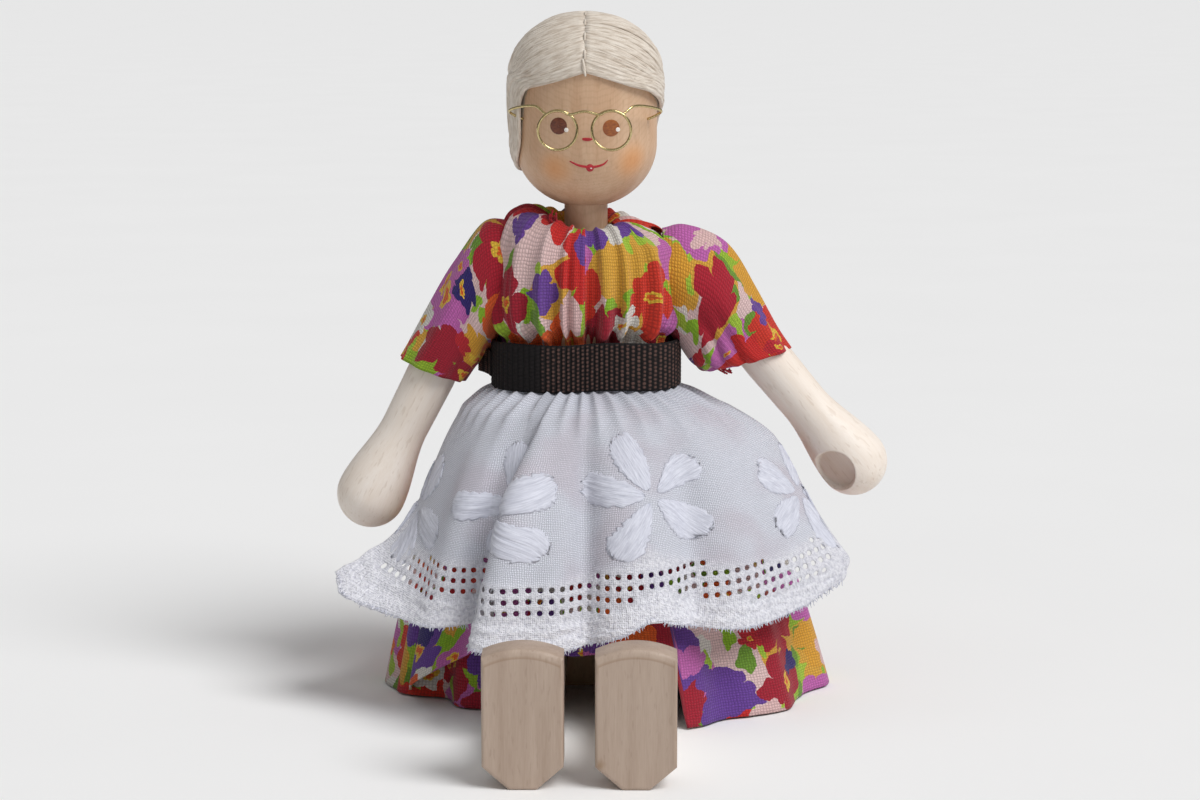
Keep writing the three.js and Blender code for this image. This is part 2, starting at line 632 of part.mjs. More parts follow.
// Foot: a board with chamfered heel corners and a crowned toe, standing square on the end of the leg.
function makeFoot() {
  const half = FOOT_WIDTH / 2 - FOOT_BEVEL;
  const heel = -HIP_Z + FOOT_BEVEL;
  const toe = -HIP_Z + FOOT_HEIGHT - FOOT_BEVEL;
  const heelHalf = HEEL_WIDTH / 2 - FOOT_BEVEL / 2;
  const outline = new THREE.Shape();
  outline.moveTo(-heelHalf, heel);
  outline.lineTo(heelHalf, heel);
  outline.lineTo(half, heel + HEEL_CHAMFER);
  outline.lineTo(half, toe - TOE_CROWN);
  outline.quadraticCurveTo(0, toe + TOE_CROWN, -half, toe - TOE_CROWN);
  outline.lineTo(-half, heel + HEEL_CHAMFER);
  const options = {
    depth: FOOT_THICKNESS - 2 * FOOT_BEVEL,
    bevelEnabled: true,
    bevelSize: FOOT_BEVEL,
    bevelThickness: FOOT_BEVEL,
    bevelSegments: 2,
    curveSegments: 8,
  };
  const board = new THREE.ExtrudeGeometry(outline, options);
  board.applyMatrix4(new THREE.Matrix4().makeBasis(point(1, 0, 0), point(0, 0, 1), point(0, -1, 0)));
  board.translate(0, -LEG_LENGTH - GAP - FOOT_BEVEL, 0);
  const dowel = rod(
    point(0, -LEG_LENGTH, 0),
    point(0, -LEG_LENGTH - FOOT_DOWEL_BURIED - 2 * GAP, 0),
    FOOT_DOWEL_RADIUS + GAP,
    16,
  );
  return geometryOf(solid(board).subtract(solid(dowel)));
}

for (const [side, sign] of [['left', 1], ['right', -1]]) {
  const hip = new THREE.Group();
  hip.position.set(sign * LEG_X, 0, HIP_Z);
  doll.add(hip);
  addPart(`${side}_leg`, makeLeg(), MAPLE, hip);
  addPart(`${side}_foot`, makeFoot(), BEECH, hip);
  const dowelBack = point(0, -LEG_LENGTH + LEG_DOWEL_BURIED, 0);
  const dowelFront = point(0, -LEG_LENGTH - FOOT_DOWEL_BURIED - GAP, 0);
  addPart(`${side}_foot_dowel`, rod(dowelBack, dowelFront, FOOT_DOWEL_RADIUS, 14), MAPLE, hip);
}

// Bodice: gathered in vertical pleats from the waist seam, over the shoulders and down to the neckline,
// with a round armhole on each side.
function makeBodice() {
  const sides = 4 * PLEAT_COUNT;
  const waistWidth = WAIST_HALF_WIDTH + DRESS_ROOM;
  const waistDepth = TORSO_HALF_DEPTH + DRESS_ROOM;
  const chestDepth = waistDepth + BODICE_CHEST;
  const sideWidth = WAIST_HALF_WIDTH - PLEAT;
  const neck = NECK_RADIUS + NECKLINE_ROOM + CLOTH;
  const shoulderZ = TORSO_HEIGHT + SHOULDER_RISE;
  const armpitZ = SHOULDER_Z - ARMHOLE_RADIUS;
  const rowsOf = [
    [WAIST_HEIGHT + GAP / 2, waistWidth, waistDepth, SQUARENESS],
    [BELT_TOP + GAP, waistWidth, waistDepth, SQUARENESS],
    [BELT_TOP + 2 * BODICE_PUFF, waistWidth + BODICE_PUFF, chestDepth, SQUARENESS],
    [armpitZ - GAP, sideWidth + GAP, chestDepth + BODICE_PUFF / 2, SHOULDER_SQUARENESS],
    [SHOULDER_Z, sideWidth, chestDepth - BODICE_PUFF / 2, SHOULDER_SQUARENESS],
    [shoulderZ - BODICE_CHEST, sideWidth, waistDepth, SHOULDER_SQUARENESS],
    [shoulderZ, SHOULDER_HALF_WIDTH + 2 * GAP, waistDepth - BODICE_CHEST, SQUARENESS],
    [shoulderZ, (SHOULDER_HALF_WIDTH + neck) / 2, (waistDepth + neck - BODICE_CHEST) / 2, SQUARENESS],
    [shoulderZ - NECKLINE_DIP, neck, neck, 2],
  ];
  const rows = rowsOf.map(([height, halfWidth, halfDepth, power]) => (
    Array.from({ length: sides }, (_, i) => {
      const turn = (2 * Math.PI * i) / sides;
      const pleat = PLEAT * Math.cos(PLEAT_COUNT * turn);
      return aroundZ(turn, sectionRadius(turn, halfWidth, halfDepth, power) + pleat, height);
    })
  ));
  const reach = WAIST_HALF_WIDTH + BELT_ROOM;
  const armhole = rod(
    point(-reach, 0, SHOULDER_Z),
    point(reach, 0, SHOULDER_Z),
    ARMHOLE_RADIUS - CLOTH,
    24,
  );
  return geometryOf(solid(clothSheet(rows, CLOTH, true)).subtract(solid(armhole)));
}

// How far down the flare a height is, from 0 at the belt to 1 on the ground.
function flare(height) {
  return Math.max(1 - height / BELT_BOTTOM, 0);
}

// Distance from the axis to the middle of the skirt's folds. The gathers puff the skirt out under the belt,
// and it lies further out on the left than on the right, where the arm hangs close.
function skirtRadius(turn, height) {
  const share = flare(height) ** SKIRT_FULLNESS;
  const waistWidth = WAIST_HALF_WIDTH + DRESS_ROOM;
  const waistDepth = TORSO_HALF_DEPTH + DRESS_ROOM;
  const sideReach = Math.sin(turn) < 0 ? SKIRT_RIGHT_REACH : SKIRT_LEFT_REACH;
  const halfWidth = waistWidth + (sideReach - waistWidth) * share;
  const halfDepth = waistDepth + (SKIRT_HALF_DEPTH - waistDepth) * share;
  const squarish = sectionRadius(turn, waistWidth, waistDepth);
  const round = halfWidth * halfDepth / Math.hypot(halfDepth * Math.sin(turn), halfWidth * Math.cos(turn));
  return THREE.MathUtils.lerp(squarish, round, Math.min(4 * share, 1));
}

const skirtFold = (height) => PLEAT + (SKIRT_FOLD - PLEAT) * Math.sqrt(flare(height));

// Height of the skirt's hem, lifted in front by the legs.
function skirtHem(turn) {
  const legEdge = Math.asin((LEG_X + LEG_RADIUS + 3 * GAP) / SKIRT_HALF_DEPTH);
  const away = Math.abs(Math.atan2(Math.sin(turn), Math.cos(turn)));
  const fall = THREE.MathUtils.smoothstep(away, legEdge, 2 * legEdge);
  return THREE.MathUtils.lerp(HIP_Z + LEG_RADIUS + 3 * GAP, HEM_GAP, fall);
}

// Skirt: a gathered bell from the waist seam to the ground, with its main folds.
function makeSkirt() {
  const sides = 5 * SKIRT_FOLD_COUNT;
  const shares = [0.015, 0.05, 0.12, 0.25, 0.45, 0.7, 1];
  const rowAt = (heightOf) => (
    Array.from({ length: sides }, (_, i) => {
      const turn = (2 * Math.PI * i) / sides;
      const height = heightOf(turn);
      const fold = skirtFold(height) * Math.cos(SKIRT_FOLD_COUNT * turn);
      return aroundZ(turn, skirtRadius(turn, height) + fold, height);
    })
  );
  const rows = [rowAt(() => WAIST_HEIGHT - GAP / 2), rowAt(() => BELT_BOTTOM)];
  for (const share of shares) {
    rows.push(rowAt((turn) => THREE.MathUtils.lerp(BELT_BOTTOM, skirtHem(turn), share)));
  }
  return clothSheet(rows.reverse(), CLOTH, true);
}

// How far the apron's folds stand out at a place across it, or in where negative. They grow from the belt
// to the middle of its length.
function apronFold(across, share) {
  const grown = THREE.MathUtils.smoothstep(share, -0.15, 0.45);
  const folds = APRON_FOLDS.map(({ top, hem, width, rise }) => {
    const away = (across - THREE.MathUtils.lerp(top, hem, share)) / width;
    return rise * Math.exp(-away * away);
  });
  return grown * folds.reduce((sum, fold) => sum + fold, 0) * (1 - across ** 4);
}

// Apron: gathered under the belt, hung over the front of the skirt in its main folds and flared at its
// lower corners. The left side hangs fuller.
function makeApron() {
  const columns = 61;
  const shares = [0, 0.02, 0.06, 0.13, 0.26, 0.45, 0.65, 0.83, 1];
  const rowAt = (heightOf, share) => (
    Array.from({ length: columns }, (_, i) => {
      const across = (2 * i) / (columns - 1) - 1;
      const turn = across * THREE.MathUtils.lerp(APRON_TOP_TURN, APRON_TIP_TURN, share) * DEG;
      const height = heightOf(across);
      const under = skirtRadius(turn, height) + skirtFold(height) + GAP + CLOTH;
      const tipReach = across < 0 ? APRON_RIGHT_TIP : APRON_LEFT_TIP;
      const tip = tipReach * across ** 4 * share ** APRON_TIP_POWER;
      const full = THREE.MathUtils.smoothstep(share, 0, 0.3) * (1 - 0.9 * share ** 3);
      const swell = across > 0 ? APRON_SIDE_SWELL * across ** 2 * full : 0;
      const front = APRON_FRONT_REACH * (1 - across ** 2) * share;
      const gather = APRON_GATHER * THREE.MathUtils.smoothstep(share, 0, 0.02);
      const loose = share > 0 ? Math.max(front + apronFold(across, share), gather) : 0;
      return aroundZ(turn, under + tip + swell + loose, height);
    })
  );
  const rows = [rowAt(() => BELT_TOP - GAP, 0)];
  for (const share of shares) {
    rows.push(rowAt((across) => {
      const hem = THREE.MathUtils.lerp(APRON_HEM_RISE, APRON_TIP_RISE, across ** 2);
      return THREE.MathUtils.lerp(BELT_BOTTOM, hem, share);
    }, share));
  }
  return clothSheet(rows.reverse(), CLOTH, false);
}

// Belt: a woven tape round the waist, over the apron's gathers.
function makeBelt() {
  const sides = 48;
  const rows = [BELT_BOTTOM, BELT_TOP].map((height) => (
    Array.from({ length: sides }, (_, i) => {
      const turn = (2 * Math.PI * i) / sides;
      const halfWidth = WAIST_HALF_WIDTH + BELT_ROOM;
      return aroundZ(turn, sectionRadius(turn, halfWidth, TORSO_HALF_DEPTH + BELT_ROOM), height);
    })
  ));
  return clothSheet(rows, BELT_THICKNESS, true);
}

addPart('dress_bodice', makeBodice(), PRINT);
addPart('dress_skirt', makeSkirt(), PRINT);
addPart('apron', makeApron(), BATISTE);
addPart('waist_belt', makeBelt(), TAPE);

export default doll;
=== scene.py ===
"""The looks of a dressed wooden doll that sits with its legs straight out.

Lengths are in millimetres until a mesh is made. The doll faces -Y and its own left side is +X.
"""
import math

import bpy
import numpy as np
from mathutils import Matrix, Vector


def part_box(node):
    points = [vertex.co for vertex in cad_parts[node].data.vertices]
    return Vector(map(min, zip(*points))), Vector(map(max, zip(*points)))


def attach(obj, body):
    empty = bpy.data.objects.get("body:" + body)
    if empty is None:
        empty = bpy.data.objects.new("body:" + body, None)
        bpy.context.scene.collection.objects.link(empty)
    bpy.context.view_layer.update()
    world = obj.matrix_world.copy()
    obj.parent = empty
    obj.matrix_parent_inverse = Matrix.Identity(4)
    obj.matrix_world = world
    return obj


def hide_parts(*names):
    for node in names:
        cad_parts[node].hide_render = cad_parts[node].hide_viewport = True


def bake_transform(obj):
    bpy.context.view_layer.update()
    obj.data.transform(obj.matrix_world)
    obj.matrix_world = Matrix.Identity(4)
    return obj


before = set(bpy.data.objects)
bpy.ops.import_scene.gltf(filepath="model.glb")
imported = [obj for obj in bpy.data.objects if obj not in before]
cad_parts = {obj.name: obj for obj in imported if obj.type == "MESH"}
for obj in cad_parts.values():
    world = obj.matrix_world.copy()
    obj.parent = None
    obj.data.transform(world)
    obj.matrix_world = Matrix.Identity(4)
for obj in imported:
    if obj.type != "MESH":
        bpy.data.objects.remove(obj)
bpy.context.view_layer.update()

MM = 0.001
TURN = 2 * math.pi
DEG = math.pi / 180
RANDOM = np.random.default_rng(7)


def node_box(node):
    """Lowest and highest corner of a solid, in millimetres."""
    low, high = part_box(node)
    return np.array(low) / MM, np.array(high) / MM


# Sizes read from the solids, with the head a little slimmer, as in the photograph
HEAD_SLIM = 0.962
_, HEAD_HIGH = node_box("head")
NECK_LOW, NECK_HIGH = node_box("neck_dowel")
BELT_LOW, BELT_HIGH = node_box("waist_belt")
HEAD_RADIUS = HEAD_SLIM * HEAD_HIGH[0]
HEAD_TOP = HEAD_HIGH[2]
NECK_RADIUS = NECK_HIGH[0]
BELT_BOTTOM = BELT_LOW[2]
BELT_TOP = BELT_HIGH[2]
BELT_HALF_WIDTH = BELT_HIGH[0]
BELT_HALF_DEPTH = BELT_HIGH[1]

# Sizes that the solids are made with
GAP = 0.3
SOLID_CLOTH = 0.4
PLEAT = 0.25
SQUARENESS = 2.6
WAIST_HALF_WIDTH = 10.15
WAIST_HALF_DEPTH = 6.95
HEAD_HEIGHT = 23.8
CHIN_DEPTH = 8.0
CROWN_DEPTH = 7.0
SHOULDER_X = 11.8
SHOULDER_Z = 54.5
ARM_LENGTH = 38.6
ARM_TOP_RADIUS = 2.6
ARM_RADIUS = 3.1
SLEEVE_LENGTH = 17.4
WRIST_RADIUS = 2.95
WRIST_PLACE = 24.5
HAND_RADIUS = 4.35
PALM_RADIUS = 2.75
PALM_DEPTH = 0.4
LEG_X = 6.3
HIP_Z = 4.2
LEG_RADIUS = 4.0
LEG_TONGUE_RADIUS = 3.4
LEG_TONGUE_HALF = 1.8
LEG_TONGUE_ROOT = -9.0
SKIRT_RIGHT_REACH = 25.0
SKIRT_HALF_DEPTH = 27.0
SKIRT_FULLNESS = 0.5
SKIRT_FOLD = 1.5
SKIRT_FOLD_COUNT = 13
HEM_GAP = 0.25

# Growth rings of the head
RING_AXIS = (0, 18, 52)
RING_PITCH = 0.5

# Thread and cloth
CLOTH_THICKNESS = 0.26
PRINT_WEAVE = 0.39
BATISTE_WEAVE = 0.24


def lerp(a, b, t):
    return a + (b - a) * t


def smoothstep(x, low, high):
    t = np.clip((x - low) / (high - low), 0, 1)
    return t * t * (3 - 2 * t)


def hump(x, place, width):
    """A smooth rise to 1 at a place."""
    return np.exp(-(((x - place) / width) ** 2))


def unit(vectors):
    return vectors / np.maximum(np.linalg.norm(vectors, axis=-1, keepdims=True), 1e-9)


def tint(code, alpha=1.0):
    """Linear colour of a web colour code."""
    parts = [int(code[i:i + 2], 16) / 255 for i in (1, 3, 5)]
    linear = [p / 12.92 if p <= 0.04045 else ((p + 0.055) / 1.055) ** 2.4 for p in parts]
    return (*linear, alpha)


def grey(value):
    return (value, value, value, 1.0)


def even_turns(count, closed=False):
    """Angles of a full turn in even steps, with its end too if closed."""
    return TURN * np.arange(count + closed) / count


def mapped(across, down):
    """A map of the cloth from its two coordinates."""
    return np.stack(np.broadcast_arrays(across, down), axis=-1)


def run_length(path):
    """Distance along a path at each of its points."""
    steps = np.linalg.norm(np.diff(path, axis=0), axis=1)
    return np.concatenate([[0], np.cumsum(steps)])


def smooth_path(points, count):
    """A smooth curve through the points, sampled at even steps of its length."""
    points = np.asarray(points, float)
    knots = np.concatenate([[0], np.cumsum(np.linalg.norm(np.diff(points, axis=0), axis=1) ** 0.5)])
    slopes = np.gradient(points, knots, axis=0)
    fine = np.linspace(0, knots[-1], 12 * count)
    k = np.clip(np.searchsorted(knots, fine, side="right") - 1, 0, len(points) - 2)
    span = (knots[k + 1] - knots[k])[:, None]
    t = (fine - knots[k])[:, None] / span
    curve = (2 * t ** 3 - 3 * t ** 2 + 1) * points[k] + (3 * t ** 2 - 2 * t ** 3) * points[k + 1]
    curve += span * ((t ** 3 - 2 * t ** 2 + t) * slopes[k] + (t ** 3 - t ** 2) * slopes[k + 1])
    length = run_length(curve)
    even = np.linspace(0, length[-1], count)
    return np.stack([np.interp(even, length, axis) for axis in curve.T], axis=1)


def tube(path, radius, sides=8):
    """Rings of points round a path, carried along it without twist."""
    path = np.asarray(path, float)
    radius = np.broadcast_to(radius, len(path))
    along = unit(np.gradient(path, axis=0))
    first = np.eye(3)[np.argmin(np.abs(along[0]))]
    normals = [unit(np.cross(along[0], first))]
    for tangent in along[1:]:
        normals.append(unit(normals[-1] - tangent * (normals[-1] @ tangent)))
    normals = np.array(normals)
    across = np.cross(along, normals)
    angle = even_turns(sides)[None, :, None]
    ring = np.cos(angle) * normals[:, None] + np.sin(angle) * across[:, None]
    return path[:, None] + radius[:, None, None] * ring


def lathe(radius, height, sides):
    """Rings of points about the Z axis."""
    angle = even_turns(sides)
    x = np.outer(radius, np.sin(angle))
    y = -np.outer(radius, np.cos(angle))
    return np.stack([x, y, np.broadcast_to(np.asarray(height)[:, None], x.shape)], axis=-1)


def grid_normals(grid, wraps):
    """Unit normals of a grid, pointing out of the doll where the columns run anticlockwise from above."""
    if wraps:
        padded = np.concatenate([grid[:, -1:], grid, grid[:, :1]], axis=1)
        across = (padded[:, 2:] - padded[:, :-2]) / 2
    else:
        across = np.gradient(grid, axis=1)
    return unit(np.cross(across, np.gradient(grid, axis=0)))


def add_object(name, data):
    made = bpy.data.objects.new(name, data)
    bpy.context.scene.collection.objects.link(made)
    return made


class Shape:
    """Collects grids of points into one mesh with a map of the cloth, in millimetres."""

    def __init__(self):
        self.points = []
        self.faces = []
        self.maps = []
        self.flat = []
        self.extras = {}
        self.count = 0

    def grid(self, points, uv=None, wraps=False, caps=False, keep=None, **extras):
        rows, columns = points.shape[:2]
        spans = columns if wraps else columns - 1
        r, c = np.meshgrid(np.arange(rows - 1), np.arange(spans), indexing="ij")
        a = self.count + r * columns + c
        b = self.count + r * columns + (c + 1) % columns
        faces = np.stack([a, b, b + columns, a + columns], axis=-1)
        if uv is None:
            uv = np.zeros((rows, spans + 1, 2))
        corners = np.stack([uv[r, c], uv[r, c + 1], uv[r + 1, c + 1], uv[r + 1, c]], axis=2)
        shown = np.ones(r.shape, bool) if keep is None else keep
        self.faces += faces[shown].tolist()
        self.maps.append(corners[shown].reshape(-1, 2))
        self.flat += [False] * int(shown.sum())
        if caps:
            last = self.count + (rows - 1) * columns
            self.faces.append(list(range(self.count + columns - 1, self.count - 1, -1)))
            self.faces.append(list(range(last, last + columns)))
            self.maps.append(np.zeros((2 * columns, 2)))
            self.flat += [True, True]
        self.points.append(points.reshape(-1, 3))
        self.count += rows * columns
        for name, values in extras.items():
            if np.ndim(values) == 0:
                values = np.full((rows, columns), values)
            self.extras.setdefault(name, []).append(np.asarray(values, float).reshape(rows * columns, -1))
        return self

    def turned(self, points, grain, tone=0):
        """A closed wooden form with the run of its grain and its darker places."""
        return self.grid(points, wraps=True, caps=True, grain=grain, tone=tone)

    def tube(self, path, radius, sides=8, start=(0, 0)):
        """A closed tube whose map runs round it, in turns, and along it, from a start."""
        along = run_length(np.asarray(path, float))
        uv = mapped(np.linspace(0, 1, sides + 1), along[:, None]) + start
        return self.grid(tube(path, radius, sides), uv, wraps=True, caps=True)

    def piece(self, name, material, body, slot=None, stands_for=()):
        mesh = bpy.data.meshes.new(name)
        points = np.concatenate(self.points) * MM
        mesh.from_pydata(points.tolist(), [], self.faces)
        mesh.shade_smooth()
        for polygon, flat in zip(mesh.polygons, self.flat):
            if flat:
                polygon.use_smooth = False
        layer = mesh.uv_layers.new(name="cloth")
        layer.data.foreach_set("uv", np.concatenate(self.maps).astype(np.float32).ravel())
        for extra, values in self.extras.items():
            values = np.concatenate(values).astype(np.float32)
            vector = values.shape[1] == 3
            attribute = mesh.attributes.new(extra, "FLOAT_VECTOR" if vector else "FLOAT", "POINT")
            attribute.data.foreach_set("vector" if vector else "value", values.ravel())
        mesh.materials.append(material)
        made = add_object(name, mesh)
        if body:
            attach(made, body)
        if stands_for:
            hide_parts(*stands_for)
        return made


def thicken(made, thickness, offset=-1.0, subdivide=0):
    """Gives a sheet its thickness, and rounds it where asked."""
    solidify = made.modifiers.new("thickness", "SOLIDIFY")
    solidify.thickness = thickness * MM
    solidify.offset = offset
    if subdivide:
        smooth = made.modifiers.new("rounding", "SUBSURF")
        smooth.levels = subdivide
        smooth.render_levels = subdivide
    return made


class Shader:
    """A principled material and short ways to wire its nodes."""

    def __init__(self, name, **values):
        self.material = bpy.data.materials.new(name)
        self.material.use_nodes = True
        self.tree = self.material.node_tree
        self.body = self.tree.nodes["Principled BSDF"]
        for key, value in values.items():
            self.body.inputs[key.replace("_", " ")].default_value = value

    def put(self, socket, value):
        if isinstance(value, bpy.types.NodeSocket):
            self.tree.links.new(value, socket)
        else:
            socket.default_value = value

    def node(self, kind, inputs, **settings):
        made = self.tree.nodes.new(kind)
        for key, value in settings.items():
            setattr(made, key, value)
        for key, value in inputs.items():
            self.put(made.inputs[key], value)
        return made

    def set(self, socket, value):
        self.put(self.body.inputs[socket], value)

    def math(self, operation, a, b=0.0):
        return self.node("ShaderNodeMath", {0: a, 1: b}, operation=operation).outputs[0]

    def vector(self, operation, a, b=(0, 0, 0)):
        return self.node("ShaderNodeVectorMath", {0: a, 1: b}, operation=operation).outputs[0]

    def length(self, a):
        return self.node("ShaderNodeVectorMath", {0: a}, operation="LENGTH").outputs["Value"]

    def parts(self, vector):
        return self.node("ShaderNodeSeparateXYZ", {0: vector}).outputs

    def stretch(self, vector, scale):
        return self.node("ShaderNodeMapping", {"Vector": vector, "Scale": scale}).outputs[0]

    def attribute(self, name, output="Vector"):
        return self.node("ShaderNodeAttribute", {}, attribute_name=name).outputs[output]

    def uv(self):
        return self.node("ShaderNodeUVMap", {}, uv_map="cloth").outputs[0]

    def place(self):
        """Millimetres in the piece's own space."""
        here = self.node("ShaderNodeTexCoord", {}).outputs["Object"]
        return self.stretch(here, (1 / MM, 1 / MM, 1 / MM))

    def noise(self, vector, scale, detail=2.0, output="Fac"):
        inputs = {"Vector": vector, "Scale": scale, "Detail": detail}
        return self.node("ShaderNodeTexNoise", inputs).outputs[output]

    def cells(self, vector, scale, scatter=1.0):
        inputs = {"Vector": vector, "Scale": scale, "Randomness": scatter}
        return self.node("ShaderNodeTexVoronoi", inputs, voronoi_dimensions="2D").outputs

    def blend(self, value, low, high):
        """Smooth step of a value between two others."""
        inputs = {"Value": value, 1: low, 2: high}
        return self.node("ShaderNodeMapRange", inputs, interpolation_type="SMOOTHSTEP").outputs[0]

    def ramp(self, factor, stops, steps=False):
        made = self.node("ShaderNodeValToRGB", {0: factor})
        ramp = made.color_ramp
        ramp.interpolation = "CONSTANT" if steps else "LINEAR"
        ramp.elements.remove(ramp.elements[1])
        ramp.elements[0].position, ramp.elements[0].color = stops[0]
        for position, colour in stops[1:]:
            ramp.elements.new(position).color = colour
        return made.outputs[0]

    def palette(self, factor, codes):
        """One of several colours, by a number from 0 to 1."""
        stops = [(i / len(codes), tint(code)) for i, code in enumerate(codes)]
        return self.ramp(factor, stops, steps=True)

    def mix(self, factor, a, b, blend="MIX"):
        inputs = {0: factor, 6: a, 7: b}
        return self.node("ShaderNodeMix", inputs, data_type="RGBA", blend_type=blend).outputs[2]

    def bump(self, height, depth, strength=1.0):
        inputs = {"Height": height, "Distance": depth * MM, "Strength": strength}
        self.set("Normal", self.node("ShaderNodeBump", inputs).outputs[0])

    def weave(self, uv, pitch):
        """Height of plain-woven threads, from 0 between them to 1 on them."""
        wander = self.vector("SUBTRACT", self.noise(uv, 0.9, 2.0, "Color"), (0.5, 0.5, 0.5))
        moved = self.vector("ADD", uv, self.vector("MULTIPLY", wander, (0.35, 0.35, 0)))
        parts = self.parts(self.vector("MULTIPLY", moved, (math.pi / pitch, math.pi / pitch, 0)))
        across = self.math("SINE", parts[0])
        along = self.math("SINE", parts[1])
        cross = self.math("MULTIPLY", across, along)
        lift = self.math("MULTIPLY", cross, 0.2)
        return self.math("ADD", self.math("ABSOLUTE", cross), lift)


def wood(name, pale, dark, fleck, flecked=0.3, local=False, blush=(), rings=0.0):
    """Sanded wood with streaks and flecks along the grain, which runs along Z of its coordinates."""
    s = Shader(name, Roughness=0.55)
    place = s.place() if local else s.attribute("grain")
    along = s.stretch(place, (1, 1, 0.07))
    streaks = s.noise(along, 0.55, 3.0)
    fibres = s.noise(along, 6.0, 3.0)
    flecks = s.blend(s.noise(s.stretch(place, (1, 1, 0.22)), 2.6, 1.0), 0.6, 0.72)
    colour = s.ramp(s.math("ADD", s.math("MULTIPLY", streaks, 0.75), s.math("MULTIPLY", fibres, 0.3)),
                    [(0.3, tint(pale)), (0.75, tint(dark))])
    if rings:
        reach = s.length(s.vector("MULTIPLY", s.vector("SUBTRACT", s.place(), RING_AXIS), (0.25, 1, 1)))
        wander = s.math("MULTIPLY", streaks, 16.0)
        bands = s.math("SINE", s.math("ADD", s.math("MULTIPLY", reach, TURN / RING_PITCH), wander))
        colour = s.mix(s.math("MULTIPLY", s.blend(bands, 0.2, 1.0), rings), colour, tint(fleck))
    colour = s.mix(s.math("MULTIPLY", flecks, flecked), colour, tint(fleck))
    for centre, radius, share in blush:
        reach = s.length(s.vector("SUBTRACT", s.place(), centre))
        glow = s.math("SUBTRACT", 1.0, s.blend(reach, 0.1 * radius, radius))
        colour = s.mix(s.math("MULTIPLY", glow, share), colour, tint("#d98c3f"))
    if not local:
        # Tone darkens the wood: a real scorch on one foot, a darker line where each toe's face meets its
        # bevel, and painted shade in the palm recesses.
        colour = s.mix(s.attribute("tone", "Fac"), colour, tint("#8a6a48"))
    s.set("Base Color", colour)
    s.set("Roughness", s.ramp(fibres, [(0.3, grey(0.42)), (0.7, grey(0.62))]))
    s.bump(s.math("SUBTRACT", fibres, s.math("MULTIPLY", flecks, flecked)), 0.04, 0.5)
    return s.material


def metal(name, colour, dull, rough):
    """Drawn wire with fine marks along it."""
    s = Shader(name, Metallic=1.0)
    marks = s.noise(s.stretch(s.place(), (4, 4, 1)), 2.0, 4.0)
    s.set("Base Color", s.ramp(marks, [(0.3, tint(colour)), (0.8, tint(dull))]))
    s.set("Roughness", s.ramp(marks, [(0.3, grey(rough)), (0.7, grey(rough + 0.14))]))
    s.bump(marks, 0.003, 0.3)
    return s.material


def yarn(name, pale, dark):
    """Soft, loosely twisted yarn, mapped in turns round and millimetres along."""
    s = Shader(name, Roughness=0.95, Sheen_Weight=0.2)
    uv = s.uv()
    parts = s.parts(uv)
    fibres = s.noise(s.stretch(uv, (4.0, 0.32, 1)), 1.0, 4.0)
    twist = s.math("ADD", s.math("MULTIPLY", parts[0], 2 * TURN), s.math("MULTIPLY", parts[1], 2.6))
    twist = s.math("ADD", twist, s.math("MULTIPLY", s.noise(uv, 0.6, 2.0), 9.0))
    plies = s.math("ADD", s.math("MULTIPLY", s.math("SINE", twist), 0.5), 0.5)
    patches = s.noise(s.place(), 0.4, 2.0)
    height = s.math("ADD", s.math("MULTIPLY", plies, 0.18), fibres)
    # Darker where the plies and fibres lie lower: painted shade in the grooves, with the yarn's own
    # uneven tone.
    colour = s.ramp(height, [(0.25, tint(dark)), (0.7, tint(pale))])
    s.set("Base Color", s.mix(s.math("MULTIPLY", patches, 0.35), colour, tint(dark)))
    s.bump(height, 0.1, 0.7)
    return s.material


FLOWERS = ("#d3231f", "#b5102c", "#e8601f", "#e3a52f", "#c766b4", "#6a3f9c", "#d8331f", "#a80f2c")
SMALL_FLOWERS = ("#6d429c", "#e6c0be", "#ee6a22", "#2b1a6e", "#c86bb4", "#e6e2da", "#c41f2c")
GROUND = ("#e8c8c6", "#e9e5dc", "#9cc22b", "#e0a93a", "#e8c8c6", "#c86bb4")
LEAVES = ("#8fbf24", "#a9cc3a", "#6f9a2c")


def flowers(s, uv, shift, cell, size, petals, codes, under):
    """Lays a scatter of round-petalled flowers over the colour under them."""
    spot = s.vector("ADD", s.vector("MULTIPLY", uv, (1 / cell, 1 / cell, 0)), shift)
    cells = s.cells(spot, 1.0, 0.85)
    away = s.vector("SUBTRACT", spot, cells["Position"])
    chance = s.parts(cells["Color"])
    parts = s.parts(away)
    angle = s.math("ADD", s.math("ARCTAN2", parts[1], parts[0]), s.math("MULTIPLY", chance[0], TURN))
    lobes = s.math("ABSOLUTE", s.math("COSINE", s.math("MULTIPLY", angle, petals / 2)))
    reach = s.math("ADD", 0.62, s.math("MULTIPLY", s.math("POWER", lobes, 0.6), 0.38))
    grown = s.math("ADD", 0.75 * size, s.math("MULTIPLY", chance[1], 0.4 * size))
    grown = s.math("MULTIPLY", reach, grown)
    share = s.math("DIVIDE", s.length(away), grown)
    colour = s.mix(s.math("LESS_THAN", share, 1.0), under, s.palette(chance[2], codes))
    eyed = s.math("GREATER_THAN", s.math("FRACT", s.math("MULTIPLY", chance[2], 7.3)), 0.45)
    colour = s.mix(s.math("MULTIPLY", s.math("LESS_THAN", share, 0.3), eyed), colour, tint("#edc23a"))
    return s.mix(s.math("MULTIPLY", s.math("LESS_THAN", share, 0.17), eyed), colour, tint("#e8641f"))


